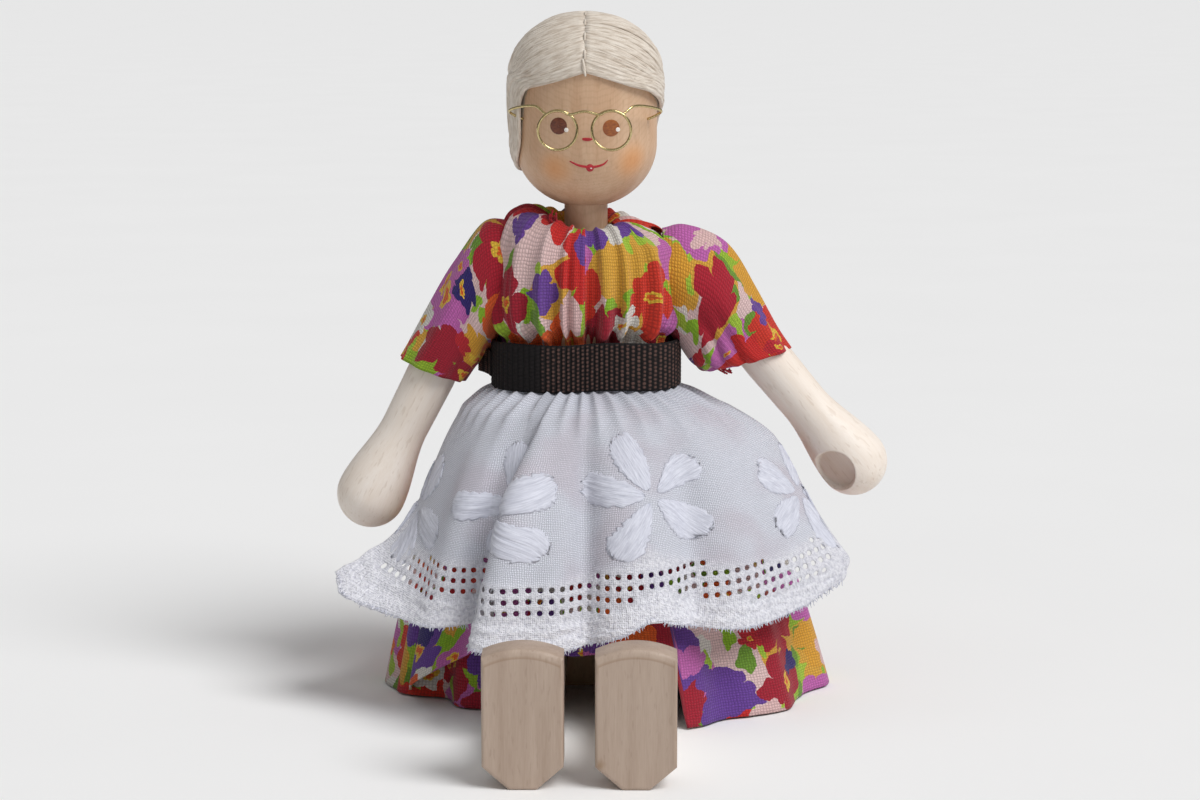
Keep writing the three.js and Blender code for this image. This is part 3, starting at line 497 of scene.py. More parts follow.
def print_cotton():
    """Plain-woven cotton with a bright scatter of flowers and leaves, whose edges follow the threads."""
    s = Shader("print_cotton", Roughness=0.9, Sheen_Weight=0.12)
    uv = s.uv()
    bleed = s.vector("SUBTRACT", s.noise(uv, 1.3 / PRINT_WEAVE, 1.0, "Color"), (0.5, 0.5, 0.5))
    thread = s.vector("ADD", uv, s.vector("MULTIPLY", bleed, (0.9 * PRINT_WEAVE, 0.9 * PRINT_WEAVE, 0)))
    wander = s.vector("SUBTRACT", s.noise(thread, 0.3, 1.0, "Color"), (0.5, 0.5, 0.5))
    spot = s.vector("ADD", thread, s.vector("MULTIPLY", wander, (4.0, 4.0, 0)))
    ground = s.cells(spot, 0.17)
    colour = s.palette(s.parts(ground["Color"])[0], GROUND)
    leaves = s.cells(s.stretch(spot, (0.34, 0.14, 1)), 1.0)
    leaf = s.math("LESS_THAN", leaves["Distance"], 0.3)
    colour = s.mix(leaf, colour, s.palette(s.parts(leaves["Color"])[1], LEAVES))
    colour = flowers(s, spot, (0.3, 0.1, 0), 9.0, 0.6, 5, FLOWERS, colour)
    colour = flowers(s, spot, (0.7, 0.4, 0), 8.6, 0.29, 5, SMALL_FLOWERS, colour)
    height = s.weave(uv, PRINT_WEAVE)
    shade = s.ramp(height, [(0.0, (0.66, 0.64, 0.64, 1)), (0.7, grey(1.0))])
    fade = s.ramp(s.noise(uv, 3.0, 3.0), [(0.25, grey(0.84)), (0.75, grey(1.0))])
    s.set("Base Color", s.mix(1.0, s.mix(1.0, colour, shade, "MULTIPLY"), fade, "MULTIPLY"))
    s.bump(height, 0.1, 0.7)
    return s.material


def batiste():
    """Fine white cotton that lets some light through, dense and nubbly along its worked edge."""
    s = Shader("batiste", Roughness=0.88, Sheen_Weight=0.1)
    uv = s.uv()
    edge = s.attribute("edge", "Fac")
    height = s.weave(uv, BATISTE_WEAVE)
    nubs = s.noise(s.place(), 2.6, 4.0)
    slubs = s.noise(s.stretch(uv, (0.25, 2.6, 1)), 1.0, 2.0)
    # Darker between the threads: painted shade in the weave.
    colour = s.ramp(height, [(0.0, tint("#c4c6d3")), (0.6, tint("#eef1fa"))])
    colour = s.mix(s.math("MULTIPLY", slubs, 0.3), colour, tint("#c4c5d3"))
    # Pinkish patches painted in: the print and its shade seen through the sheer cloth, painted as colour.
    painted_show_through = s.blend(s.noise(s.place(), 0.13, 1.0), 0.46, 0.72)
    colour = s.mix(s.math("MULTIPLY", painted_show_through, 0.24), colour, tint("#b99aa6"))
    border = s.ramp(nubs, [(0.3, tint("#cfcfda")), (0.6, tint("#f3f3fa"))])
    s.set("Base Color", s.mix(edge, colour, border))
    open_cloth = s.math("ADD", 0.77, s.math("MULTIPLY", height, 0.2))
    s.set("Alpha", s.math("MAXIMUM", open_cloth, edge))
    worked = s.math("MULTIPLY", nubs, s.math("MULTIPLY", edge, 5.0))
    s.bump(s.math("ADD", height, worked), 0.08, 0.8)
    return s.material


def satin_stitch():
    """Raised white stitches that lie side by side along a petal."""
    s = Shader("satin_stitch", Roughness=0.6, Sheen_Weight=0.2)
    uneven = s.noise(s.stretch(s.uv(), (5.5, 0.45, 1)), 1.0, 4.0)
    breaks = s.noise(s.stretch(s.uv(), (3.0, 1.1, 1)), 1.0, 2.0)
    height = s.math("ADD", s.math("MULTIPLY", uneven, 0.75), s.math("MULTIPLY", breaks, 0.25))
    # Darker where the stitches lie lower: painted shade between them.
    s.set("Base Color", s.ramp(height, [(0.32, tint("#b8bac8")), (0.62, tint("#dbdde9"))]))
    s.bump(height, 0.16, 0.8)
    return s.material


def tape():
    """Dark ribbed webbing, with painted highlights on its raised ribs."""
    s = Shader("tape", Roughness=0.75, Specular_IOR_Level=0.3)
    # The rib attribute is a painted highlight on the raised ribs: pale on them, near black between them,
    # varied by noise.
    high = s.attribute("rib", "Fac")
    highlight_unevenness = s.noise(s.uv(), 1.6, 3.0)
    fibres = s.noise(s.stretch(s.uv(), (5, 2, 1)), 3.0, 2.0)
    colour = s.ramp(s.math("MULTIPLY", high, s.math("ADD", 0.55, highlight_unevenness)),
                    [(0.1, tint("#070304")), (0.65, tint("#130b0c")), (1.0, tint("#5c433c"))])
    s.set("Base Color", colour)
    s.bump(fibres, 0.05, 0.5)
    return s.material


def paint(name, colour, deep, rough):
    """Brushed paint, thinner in places."""
    s = Shader(name, Roughness=rough, Coat_Weight=0.2)
    brush = s.noise(s.stretch(s.place(), (1, 1, 3)), 2.4, 3.0)
    s.set("Base Color", s.ramp(brush, [(0.35, tint(deep)), (0.65, tint(colour))]))
    s.bump(brush, 0.02, 0.4)
    return s.material


# Head, neck and face
HEAD_BOTTOM = HEAD_TOP - HEAD_HEIGHT
CHIN_Z = HEAD_BOTTOM + CHIN_DEPTH
CROWN_Z = HEAD_TOP - CROWN_DEPTH
CHEEKS = ((-4.0, -8.2, HEAD_BOTTOM + 5.1), (6.1, -6.8, HEAD_BOTTOM + 6.0))
CHEEK_RADIUS = 3.4
BLUSH = [(centre, CHEEK_RADIUS, 0.62) for centre in CHEEKS]
POLE_RADIUS = 0.02


def on_head(points, offset):
    """Moves points to the surface of the head grown by an offset."""
    points = np.asarray(points, float)
    middle = np.clip(points[..., 2], CHIN_Z, CROWN_Z)
    rise = points[..., 2] - middle
    depth = np.where(rise > 0, CROWN_DEPTH, CHIN_DEPTH) + offset
    flat = np.hypot(points[..., 0], points[..., 1]) / (HEAD_RADIUS + offset)
    grown = 1 / np.maximum(np.hypot(flat, rise / depth), 1e-9)
    return np.stack([points[..., 0] * grown, points[..., 1] * grown, middle + rise * grown], axis=-1)


def face_point(x, z, offset):
    """A point on the front of the head, at a place seen from the front."""
    x, z = np.broadcast_arrays(np.asarray(x, float), np.asarray(z, float))
    chin = np.sqrt(np.clip(1 - (np.minimum(z - CHIN_Z, 0) / CHIN_DEPTH) ** 2, 0, 1))
    radius = HEAD_RADIUS * chin + offset
    return np.stack([x, -np.sqrt(np.maximum(radius ** 2 - x ** 2, 0)), z], axis=-1)


def make_head(material):
    around = np.linspace(0, math.pi / 2, 40)
    barrel = np.linspace(CHIN_Z, CROWN_Z, 30)[1:-1]
    radius = np.concatenate([np.sin(around), np.ones(len(barrel)), np.cos(around)]) * HEAD_RADIUS
    chin = CHIN_Z - CHIN_DEPTH * np.cos(around)
    crown = CROWN_Z + CROWN_DEPTH * np.sin(around)
    radius[[0, -1]] = POLE_RADIUS
    grid = lathe(radius, np.concatenate([chin, barrel, crown]), 144)
    head = Shape().turned(grid, grid + (3, 5, 0))
    head.piece("head_turned", material, "head", "maple", ["head"])
    ends = np.linspace(NECK_LOW[2], HEAD_BOTTOM + CHIN_DEPTH, 12)
    grid = lathe(np.full(len(ends), NECK_RADIUS), ends, 64)
    neck = Shape().turned(grid, grid + (9, 1, 4))
    neck.piece("neck_turned", material, "torso", "maple", ["neck_dowel"])


PAINT_LIFT = 0.012
EYE_RADIUS = 1.03
GLINT_RADIUS = 0.27
EYES = (
    ("right", -3.2, 10.55, (0.95, -0.47), "#7a3d22", "#57291a"),
    ("left", 3.2, 10.3, (0.82, -0.2), "#a8632e", "#8a4a24"),
)
NOSE = ((-0.3, 9.0), (0.3, 8.95), (0.95, 9.0))
NOSE_RADIUS = 0.24
LIPS = ((-1.85, 6.3), (-1.45, 6.1), (-0.6, 5.75), (0.5, 5.6), (1.5, 5.66), (2.3, 5.95), (2.8, 6.45))
LIP_RADIUS = 0.19
LIP_DOT = (0.62, 5.46)
LIP_DOT_RADIUS = 0.48
LIP_GLINT = (0.76, 5.48)
LIP_GLINT_RADIUS = 0.17


def face_disc(shape, x, z, radius, lift):
    """A flat round dab of paint on the face."""
    rings = np.linspace(0.02, 1, 10)[:, None]
    angle = even_turns(40)[None]
    offset = PAINT_LIFT + lift * np.sqrt(1.02 - rings ** 2)
    x = x + radius * rings * np.sin(angle)
    z = z - radius * rings * np.cos(angle)
    shape.grid(face_point(x, z, offset), wraps=True)


def make_face():
    white = paint("glint_paint", "#fbf7f2", "#efe8e0", 0.4)
    red = paint("lip_paint", "#c8202e", "#a51424", 0.4)
    glints = Shape()
    lips = Shape()
    for side, x, rise, shift, colour, deep in EYES:
        eye = Shape()
        face_disc(eye, x, HEAD_BOTTOM + rise, EYE_RADIUS, 0.03)
        eye.piece(f"{side}_eye_painted", paint(f"{side}_eye_paint", colour, deep, 0.4), "head")
        face_disc(glints, x + shift[0], HEAD_BOTTOM + rise + shift[1], GLINT_RADIUS, 0.07)
    for stroke, radius in ((NOSE, NOSE_RADIUS), (LIPS, LIP_RADIUS)):
        path = smooth_path([(x, 0, HEAD_BOTTOM + z) for x, z in stroke], 40)
        path = face_point(path[:, 0], path[:, 2], -0.4 * radius)
        ends = np.sin(np.linspace(0.25, math.pi - 0.1, len(path))) ** 0.35
        lips.tube(path, radius * ends, 10)
    face_disc(lips, LIP_DOT[0], HEAD_BOTTOM + LIP_DOT[1], LIP_DOT_RADIUS, 0.06)
    face_disc(glints, LIP_GLINT[0], HEAD_BOTTOM + LIP_GLINT[1], LIP_GLINT_RADIUS, 0.1)
    glints.piece("glints_painted", white, "head")
    lips.piece("lips_painted", red, "head")


# Yarn hair
STRAND_RADIUS = 0.25
STRAND_COUNT = 116
STRAND_LIFT = 0.2
HAIR_FRONTS = (
    (-1, (
        (0.0, -9.5, 17.3), (2.6, -9.1, 16.5), (5.2, -7.8, 15.7), (7.3, -6.0, 15.0), (8.0, -5.0, 13.3),
        (8.2, -4.7, 10.6), (8.2, -4.0, 7.6), (7.9, 1.0, 5.0), (5.2, 8.8, 5.4),
    )),
    (1, (
        (0.0, -9.5, 17.3), (2.8, -9.0, 16.5), (5.6, -7.6, 15.6), (7.8, -5.4, 14.8), (8.9, -2.2, 13.4),
        (9.1, 1.9, 11.4), (8.6, 3.9, 8.4), (7.6, 5.8, 5.8), (5.0, 8.8, 5.4),
    )),
)
HAIR_BACK = (
    (0.0, 7.4, 21.4), (0.15, 8.6, 20.0), (0.2, 9.4, 18.2), (0.25, 9.8, 16.0),
    (0.25, 10.0, 13.6), (0.25, 10.0, 11.2), (0.25, 10.0, 9.0), (0.2, 10.0, 7.4),
)
BULGE = 0.45
STRAND_CROWD = 0.045
ROLL_HALF = (8.1, 3.7, 3.3)
ROLL_PLACE = (0.0, HEAD_RADIUS + 0.8, HEAD_BOTTOM + 6.0)
ROLL_PITCH = 0.5
ROLL_YARN_RADIUS = 0.34
BACKING_LIFT = 0.1
BACKING_THICKNESS = 0.12
STITCH_RADIUS = 0.13
STITCH_PLACES = (14.0, 33.0, 52.0, 70.0)
LOW_STITCH = ((0.1, -9.5, 16.6), (-0.1, -9.3, 17.6), (-0.25, -9.0, 18.7))


def make_hair(material, under):
    strands = Shape()
    base = np.array((0, 0, HEAD_BOTTOM))
    back = smooth_path(HAIR_BACK, 60)
    for sign, front in HAIR_FRONTS:
        front = smooth_path(front, 60)
        for i in range(STRAND_COUNT):
            share = (i + 0.3 * RANDOM.normal()) / (STRAND_COUNT - 1)
            share = share + STRAND_CROWD * math.sin(TURN * share)
            path = lerp(front, back, np.clip(share, 0, 1)) + base
            length = np.linspace(0, 1, len(path))
            lift = STRAND_LIFT + 0.11 * RANDOM.normal() * np.sin(math.pi * length)
            lift = lift + BULGE * hump(length, 0.36, 0.2)
            wander = 0.16 * np.sin(TURN * (1.3 * length + RANDOM.random()))
            path[:, 2] += wander * np.sin(math.pi * length)
            path = on_head(on_head(path, 0), lift)
            path[:, 0] *= sign
            start = (RANDOM.random(), 60 * RANDOM.random())
            strands.tube(path, STRAND_RADIUS * RANDOM.uniform(0.8, 1.2), 8, start)
    strands.piece("hair_strands", material, "head", "yarn", ["hair_cap"])

    turns = math.pi * 0.5 * (ROLL_HALF[0] + ROLL_HALF[1]) / ROLL_PITCH
    t = np.linspace(-0.49, 0.49, int(40 * turns))
    angle = TURN * turns * t
    slim = np.cos(math.pi * t) ** 0.8
    along = ROLL_HALF[0] * np.sin(math.pi * t)
    out = ROLL_HALF[1] * slim * np.cos(angle)
    up = ROLL_HALF[2] * slim * np.sin(angle)
    roll = Shape().tube(np.stack([along, out, up], axis=1) + ROLL_PLACE, ROLL_YARN_RADIUS, 8)
    roll.piece("hair_roll_wound", material, "head", "yarn", ["hair_roll"])

    turn = np.linspace(0, TURN, 97)[:-1]
    away = np.abs(np.arctan2(np.sin(turn), np.cos(turn)))
    low = np.zeros(len(turn))
    for sign, front in HAIR_FRONTS:
        x, y, z = np.array(front).T
        low = np.where(sign * np.sin(turn) >= 0, np.interp(away, np.arctan2(x, -y), z + 0.15), low)
    low = low + HEAD_BOTTOM
    share = np.linspace(0, 1, 30)[:, None]
    height = lerp(low[None], HEAD_TOP - 0.02, share)
    crown = np.sqrt(np.clip(1 - ((height - CROWN_Z) / CROWN_DEPTH) ** 2, 0, 1))
    cap = around_z(turn, HEAD_RADIUS * np.where(height > CROWN_Z, crown, 1), height)
    # A backing sheet under the strands in a darker yarn: painted shade that shows in the gaps between
    # strands.
    backing = Shape().grid(on_head(cap, BACKING_LIFT), wraps=True)
    thicken(backing.piece("hair_backing", under, "head", "yarn"), BACKING_THICKNESS)

    stitches = Shape()
    for place in STITCH_PLACES:
        angle = (place + np.linspace(0, 9, 12)) * DEG
        line = around_z(0, HEAD_RADIUS * np.cos(angle), CROWN_Z + CROWN_DEPTH * np.sin(angle))
        arch = 0.42 + 0.16 * np.sin(np.linspace(0, math.pi, 12))
        stitches.tube(on_head(line, arch), STITCH_RADIUS, 8)
    low_stitch = on_head(smooth_path(np.array(LOW_STITCH) + base, 20), 0.55)
    stitches.tube(low_stitch, 0.2 * np.sin(np.linspace(0.3, math.pi - 0.3, 20)) ** 0.5, 8)
    stitches.piece("part_stitches", material, "head", "yarn")


# Spectacles
WIRE_RADIUS = 0.17
RING_RADIUS = 2.36
RING_SPACING = 6.5
RING_Z = HEAD_BOTTOM + 10.2
RING_BACK = -HEAD_RADIUS - 1.9
RING_FRONT = RING_BACK - 1.1
SOCKET_Z = HEAD_BOTTOM + 11.2
SOCKET_TURN = 60 * DEG
RING_OVERLAP = 35 * DEG


def make_spectacles(material):
    def socket(sign, distance, height):
        return (sign * distance * math.sin(SOCKET_TURN), -distance * math.cos(SOCKET_TURN), height)

    def temple(sign):
        return [
            socket(sign, HEAD_RADIUS - 1.6, SOCKET_Z),
            socket(sign, HEAD_RADIUS, SOCKET_Z),
            socket(sign, HEAD_RADIUS + 1.9, SOCKET_Z + 0.95),
            (sign * 5.9, RING_BACK + 0.95, RING_Z + 2.8),
        ]

    def ring(sign, start, end):
        share = np.linspace(0, 1, 30)
        turn = lerp(-RING_OVERLAP, TURN + RING_OVERLAP, share)
        x = sign * RING_SPACING / 2 + RING_RADIUS * np.sin(turn)
        y = lerp(start, end, share)
        z = RING_Z + RING_RADIUS * np.cos(turn)
        return np.stack([x, y, z], axis=1).tolist()

    path = temple(-1) + ring(-1, RING_BACK, RING_FRONT) + [(0, RING_FRONT, RING_Z + 2.3)]
    path += ring(1, RING_FRONT, RING_BACK) + temple(1)[::-1]
    wire = Shape().tube(smooth_path(path, 420), WIRE_RADIUS, 12)
    wire.piece("spectacle_wire", material, "head", "brass", ["spectacles"])


# Arms
ARM_SIDES = (("left", 1, 40 * DEG, -40 * DEG), ("right", -1, 27 * DEG, 150 * DEG))
PALM_SHIFT = 1.0
PALM_RIM = 0.3
PALM_PAINTED_SHADE = 0.26
PALM_ROWS_REACH = 6.0
FORK_HALF = 1.1
FORK_DEPTH = 1.9


def arm_radius(distance):
    """Radius of an arm at a distance from the shoulder pivot."""
    hand = ARM_LENGTH - HAND_RADIUS
    top = np.sqrt(np.clip(ARM_TOP_RADIUS ** 2 - np.minimum(distance, 0) ** 2, 0, None)) - ARM_TOP_RADIUS
    upper = lerp(ARM_TOP_RADIUS, ARM_RADIUS, np.clip(distance / SLEEVE_LENGTH, 0, 1)) + top
    below = (distance - SLEEVE_LENGTH) / (WRIST_PLACE - SLEEVE_LENGTH)
    lower = lerp(ARM_RADIUS, WRIST_RADIUS, np.clip(below, 0, 1))
    swell = lerp(WRIST_RADIUS, HAND_RADIUS, smoothstep(distance, WRIST_PLACE, hand))
    ball = np.sqrt(np.clip(HAND_RADIUS ** 2 - np.maximum(distance - hand, 0) ** 2, 0, None))
    long = np.where(distance < SLEEVE_LENGTH, upper, np.where(distance < WRIST_PLACE, lower, swell))
    return np.where(distance > hand, ball, long)


def along_arm(points, sign, spread):
    """Turns points made down -Z from the pivot into the arm's place at rest."""
    x = points[..., 0] * math.cos(spread) - sign * points[..., 2] * math.sin(spread)
    z = sign * points[..., 0] * math.sin(spread) + points[..., 2] * math.cos(spread)
    return np.stack([x + sign * SHOULDER_X, points[..., 1], z + SHOULDER_Z], axis=-1)


def arm_prong(way):
    """One side of the fork that takes the shoulder peg's tongue."""
    top = math.sqrt(ARM_TOP_RADIUS ** 2 - (1.05 * FORK_HALF) ** 2)
    dome = -top * np.sin(np.linspace(0, math.pi / 2, 12))
    distance = np.concatenate([np.linspace(FORK_DEPTH, 0, 6), dome[1:]])
    radius = arm_radius(distance)[:, None]
    start = np.arcsin(FORK_HALF / radius)
    angle = lerp(start, math.pi - start, np.linspace(0, 1, 40)[None])
    height = np.broadcast_to(-distance[:, None], angle.shape)
    return np.stack([way * radius * np.cos(angle), way * radius * np.sin(angle), height], axis=-1)


def make_arms(material):
    hand = ARM_LENGTH - HAND_RADIUS
    floor = math.sqrt(HAND_RADIUS ** 2 - PALM_RADIUS ** 2) - PALM_DEPTH
    for side, sign, spread, palm_turn in ARM_SIDES:
        tip = hand + HAND_RADIUS * np.sin(np.linspace(0, math.pi / 2, 60))
        upper = np.linspace(FORK_DEPTH, hand - PALM_ROWS_REACH, 50)
        lower = np.linspace(hand - PALM_ROWS_REACH, hand, 50)
        distance = np.concatenate([upper, lower[1:], tip[1:]])
        radius = np.maximum(arm_radius(distance), POLE_RADIUS)
        grid = lathe(radius[::-1], -distance[::-1], 200)
        facing = np.array((math.sin(palm_turn), -math.cos(palm_turn), 0))
        away = grid + (0, 0, hand - PALM_SHIFT)
        depth = away @ facing
        off_axis = np.linalg.norm(away - depth[..., None] * facing, axis=-1)
        rim = smoothstep(off_axis, PALM_RADIUS - PALM_RIM, PALM_RADIUS + PALM_RIM / 2)
        inside = (1 - rim) * (depth > 0)
        grid = grid + ((np.minimum(depth, floor) - depth) * inside)[..., None] * facing
        # Painted shade inside each palm recess, carried by the tone that darkens the wood.
        tone = PALM_PAINTED_SHADE * (1 - smoothstep(off_axis, PALM_RADIUS - PALM_RIM, PALM_RADIUS)) * (depth > 0)
        shape = Shape()
        for part, marks in ((grid, tone), (arm_prong(1), 0), (arm_prong(-1), 0)):
            shape.turned(along_arm(part, sign, spread), part + (7 * sign, 3, 0), marks)
        shape.piece(f"{side}_arm_turned", material, f"{side}_arm", "maple", [f"{side}_arm"]) \
            .data.set_sharp_from_angle(angle=50 * DEG)


# Legs and feet
TOE_CHAMFER = 0.95
BOARD_EDGE = 0.35
HEEL_WIDTH = 3.1
HEEL_CHAMFER = 2.6
TOE_RISE = 1.0
SCORCH = (-4.0, 2.9)
TOE_LINE_RING = 16


def foot_outline(width, height, inset, toe_inset):
    """The edge of a foot board, set in from its sides and toe, from the heel round by the right side."""
    half = width / 2 - inset
    heel = (HEEL_WIDTH - inset) / 2
    chamfer = HEEL_CHAMFER + 0.5 * inset
    side = height - TOE_RISE - toe_inset
    corners = [(-heel, inset), (heel, inset), (half, chamfer), (half, side)]
    edge = []
    for start, end in zip(corners, corners[1:]):
        edge += [lerp(np.array(start), np.array(end), k / 14) for k in range(14)]
    for k in range(41):
        x = half * math.cos(math.pi * k / 40)
        edge.append(np.array((x, side + TOE_RISE * (1 - (x / half) ** 2))))
    edge += [lerp(np.array((-half, side)), np.array((-half, chamfer)), k / 14) for k in range(1, 14)]
    edge += [lerp(np.array((-half, chamfer)), np.array((-heel, inset)), k / 14) for k in range(14)]
    return np.array(edge)


def make_legs(maple, beech):
    for side, sign in (("left", 1), ("right", -1)):
        low, high = node_box(f"{side}_foot")
        width, thick, height = high - low
        edge = foot_outline(width, height, 0, 0)
        toe = smoothstep(edge[:, 1], height - 3, height - 1.4)
        bevel = lerp(BOARD_EDGE, 0.55 * TOE_CHAMFER, toe)
        rings = []
        for turn in np.linspace(0, math.pi / 2, 6):
            inset = 1 - math.sin(turn)
            ring = foot_outline(width, height, BOARD_EDGE * inset, TOE_CHAMFER * inset)
            rings.append((ring, bevel * (1 - math.cos(turn))))
        inner = rings[0][0]
        centre = inner.mean(axis=0)
        rings = [(lerp(centre, inner, k), 0 * bevel) for k in np.linspace(0.02, 0.98, 16)] + rings
        for turn in np.linspace(0, math.pi / 2, 5):
            inset = BOARD_EDGE * (1 - math.cos(turn))
            depth = thick - BOARD_EDGE * (1 - math.sin(turn))
            rings.append((foot_outline(width, height, inset, inset), depth + 0 * bevel))
        grid = np.stack([np.stack([e[:, 0], d, e[:, 1]], axis=1) for e, d in rings])
        grid = grid[:, ::-1]
        spot = np.hypot(grid[..., 0] - SCORCH[0], grid[..., 2] - SCORCH[1])
        tone = 0.75 * hump(spot, 0, 0.45) * (sign > 0) * (grid[..., 1] < 1.2)
        tone[TOE_LINE_RING] += 0.4 * toe[::-1]
        placed = grid + (sign * LEG_X, low[1], low[2])
        made = Shape().turned(placed, grid + (11 * sign, 0, 0), tone) \
            .piece(f"{side}_foot_board", beech, f"{side}_leg", "beech", [f"{side}_foot"])
        made.data.set_sharp_from_angle(angle=38 * DEG)

        foot_end = node_box(f"{side}_leg")[0][1]
        along = np.array([foot_end, foot_end + 0.01, foot_end + 20, -7.2, -6.7, -6.6])
        round_it = np.array([3.5, 3.7, LEG_RADIUS, LEG_RADIUS, LEG_RADIUS - 0.15, LEG_RADIUS - 0.6])
        fine = np.concatenate([[along[0]], np.linspace(along[1], along[3], 30), along[4:]])
        stick = lathe(np.interp(fine, along, round_it), fine, 64)
        turned = np.stack([stick[..., 0], stick[..., 2], -stick[..., 1]], axis=-1)
        angle = np.linspace(-math.pi / 2, math.pi / 2, 20)
        tip = LEG_TONGUE_RADIUS * np.stack([np.cos(angle), np.sin(angle)], axis=1)
        root = [(LEG_TONGUE_ROOT, LEG_TONGUE_RADIUS), (LEG_TONGUE_ROOT, -LEG_TONGUE_RADIUS)]
        tongue = np.concatenate([root, tip])
        faces = (-LEG_TONGUE_HALF, LEG_TONGUE_HALF)
        plate = np.stack([np.insert(tongue, 0, x, axis=1) for x in faces])
        place = (sign * LEG_X, 0, HIP_Z)
        shape = Shape()
        for part in (turned, plate):
            shape.turned(part + place, part[..., [0, 2, 1]] + (0, 4, 9 * sign))
        shape.piece(f"{side}_leg_turned", maple, f"{side}_leg", "maple", [f"{side}_leg"]) \
            .data.set_sharp_from_angle(angle=50 * DEG)


# Dress
def section_radius(turn, half_width, half_depth, power=SQUARENESS):
    """Distance from the Z axis to a rounded section, at a turn measured from the front."""
    across = np.abs(np.sin(turn) / half_width) ** power
    along = np.abs(np.cos(turn) / half_depth) ** power
    return (across + along) ** (-1 / power)


def around_z(turn, radius, height):
    turn, radius, height = np.broadcast_arrays(turn, radius, height)
    return np.stack([radius * np.sin(turn), -radius * np.cos(turn), height], axis=-1)


BODICE_ROWS = (
    (41.6, 10.2, 7.0, 2.6), (44.4, 10.4, 7.2, 2.6), (45.8, 11.6, 8.6, 2.7), (49.0, 11.9, 9.0, 2.9),
    (53.0, 11.2, 8.7, 3.2), (56.6, 10.6, 7.9, 3.2), (58.9, 9.4, 6.6, 2.8), (59.7, 7.4, 5.4, 2.5),
    (59.3, 5.4, 4.5, 2.3), (58.3, 3.7, 3.6, 2.0),
)
BODICE_PLEATS = 21
BODICE_FULLNESS = 1.35
BODICE_MEAN_RADIUS = 10.0
ARMHOLE_RADIUS = 3.7
SHOULDER_LIFT = 0.9
SHOULDER_DROP = 1.44
COLLAR_DIP = 1.5
FRAY_RADIUS = 0.12


def pleats(turn, count, lean, shift):
    """Folds round the body that lean to one side, from -1 to 1."""
    wave = count * turn + 0.9 * np.sin(3 * turn + shift) + shift
    return np.cos(wave + lean * np.sin(wave))


def make_bodice(cotton):
    rows, columns = 84, 480
    turn = even_turns(columns)
    keys = smooth_path(BODICE_ROWS, rows)
    height, half_width, half_depth, power = (keys[:, i:i + 1] for i in range(4))
    grid = around_z(turn, section_radius(turn, half_width, half_depth, power), height)
    share = np.linspace(0, 1, rows)[:, None]
    side = np.abs(np.sin(turn)) ** 4
    front = hump(np.arctan2(np.sin(turn), np.cos(turn)), 0.1, 0.75)
    depth = 0.3 + 0.6 * hump(share, 0.2, 0.3) * (1 - 0.6 * side) - 0.1 * hump(share, 1, 0.1)
    folds = 0.7 * pleats(turn, BODICE_PLEATS, 0.8, 0.4) + 0.4 * pleats(turn, 33, 0.3, 2.1) * (1 - share)
    folds = folds + 0.9 * front * pleats(turn, 13, 0.9, 1.3) * smoothstep(share, 0.98, 0.6)
    grid = grid + (depth * folds)[..., None] * grid_normals(grid, True)
    grid[..., 2] -= COLLAR_DIP * front * smoothstep(share, 0.45, 0.8)
    near_top = smoothstep(grid[..., 2], 55, 59)
    grid[..., 2] += SHOULDER_LIFT * smoothstep(-grid[..., 0], 3, 8) * near_top
    grid[..., 2] -= SHOULDER_DROP * smoothstep(grid[..., 0], 3, 8) * near_top
    around = BODICE_FULLNESS * BODICE_MEAN_RADIUS * even_turns(columns, closed=True)
    uv = mapped(around, run_length(grid[:, 0])[:, None])
    middle = (grid[:-1] + grid[1:]) / 2
    hole = np.hypot(middle[..., 1], middle[..., 2] - SHOULDER_Z) < ARMHOLE_RADIUS
    made = Shape().grid(grid, uv, wraps=True, keep=~(hole & (np.abs(middle[..., 0]) > 8))) \
        .piece("bodice_cloth", cotton, "torso", "print", ["dress_bodice"])
    thicken(made, CLOTH_THICKNESS)


SLEEVE_ROWS = {
    "left": (
        (9.6, 46.0, 9.6, 57.6, 4.6), (11.8, 43.4, 12.2, 58.0, 5.2), (13.4, 41.0, 17.2, 55.6, 5.2),
        (14.6, 40.0, 21.0, 50.0, 4.7), (15.6, 40.1, 24.2, 44.6, 4.3), (16.5, 40.5, 25.5, 42.6, 4.1),
    ),
    "right": (
        (9.6, 47.0, 9.6, 58.6, 4.6), (11.2, 44.6, 12.6, 58.6, 5.0), (12.4, 42.6, 16.4, 53.2, 4.9),
        (13.6, 41.0, 19.3, 48.0, 4.5), (14.7, 39.7, 22.0, 43.4, 4.2), (15.6, 38.6, 23.2, 41.4, 4.0),
    ),
}
CRUMPLE = 0.5
SLEEVE_MEAN_RADIUS = 5.6


def make_sleeves(cotton):
    rows, columns = 60, 150
    angle = even_turns(columns)
    for side, sign, spread, _ in ARM_SIDES:
        keys = smooth_path(SLEEVE_ROWS[side], rows)
        inner_x, inner_z, outer_x, outer_z, half_depth = (keys[:, i:i + 1] for i in range(5))
        share = np.linspace(0, 1, rows)[:, None]
        half = np.hypot(outer_x - inner_x, outer_z - inner_z) / 2
        ripple = 0.35 * np.sin(math.pi * share) * np.cos(5 * angle + 5 * share + sign)
        ripple = ripple + 0.2 * share * np.cos(9 * angle + 2 + sign)
        if sign > 0:
            place = hump(share, 0.75, 0.3) * hump(angle, 5.3, 0.6)
            ripple = ripple + CRUMPLE * place * np.cos(15 * angle - 7 * share)
        across = 0.5 - 0.5 * (1 + ripple / half) * np.cos(angle)
        x = lerp(inner_x, outer_x, across)
        z = lerp(inner_z, outer_z, across)
        grid = np.stack([sign * x, sign * (half_depth + ripple) * np.sin(angle), z], axis=-1)
        around = SLEEVE_MEAN_RADIUS * even_turns(columns, closed=True)
        uv = mapped(around, run_length(grid[:, columns // 2])[:, None]) + (37 * sign, 9)
        made = Shape().grid(grid[::-1], uv[::-1], wraps=True) \
            .piece(f"{side}_sleeve_cloth", cotton, None, "print", [f"{side}_sleeve"])
        thicken(made, CLOTH_THICKNESS)
        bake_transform(made)


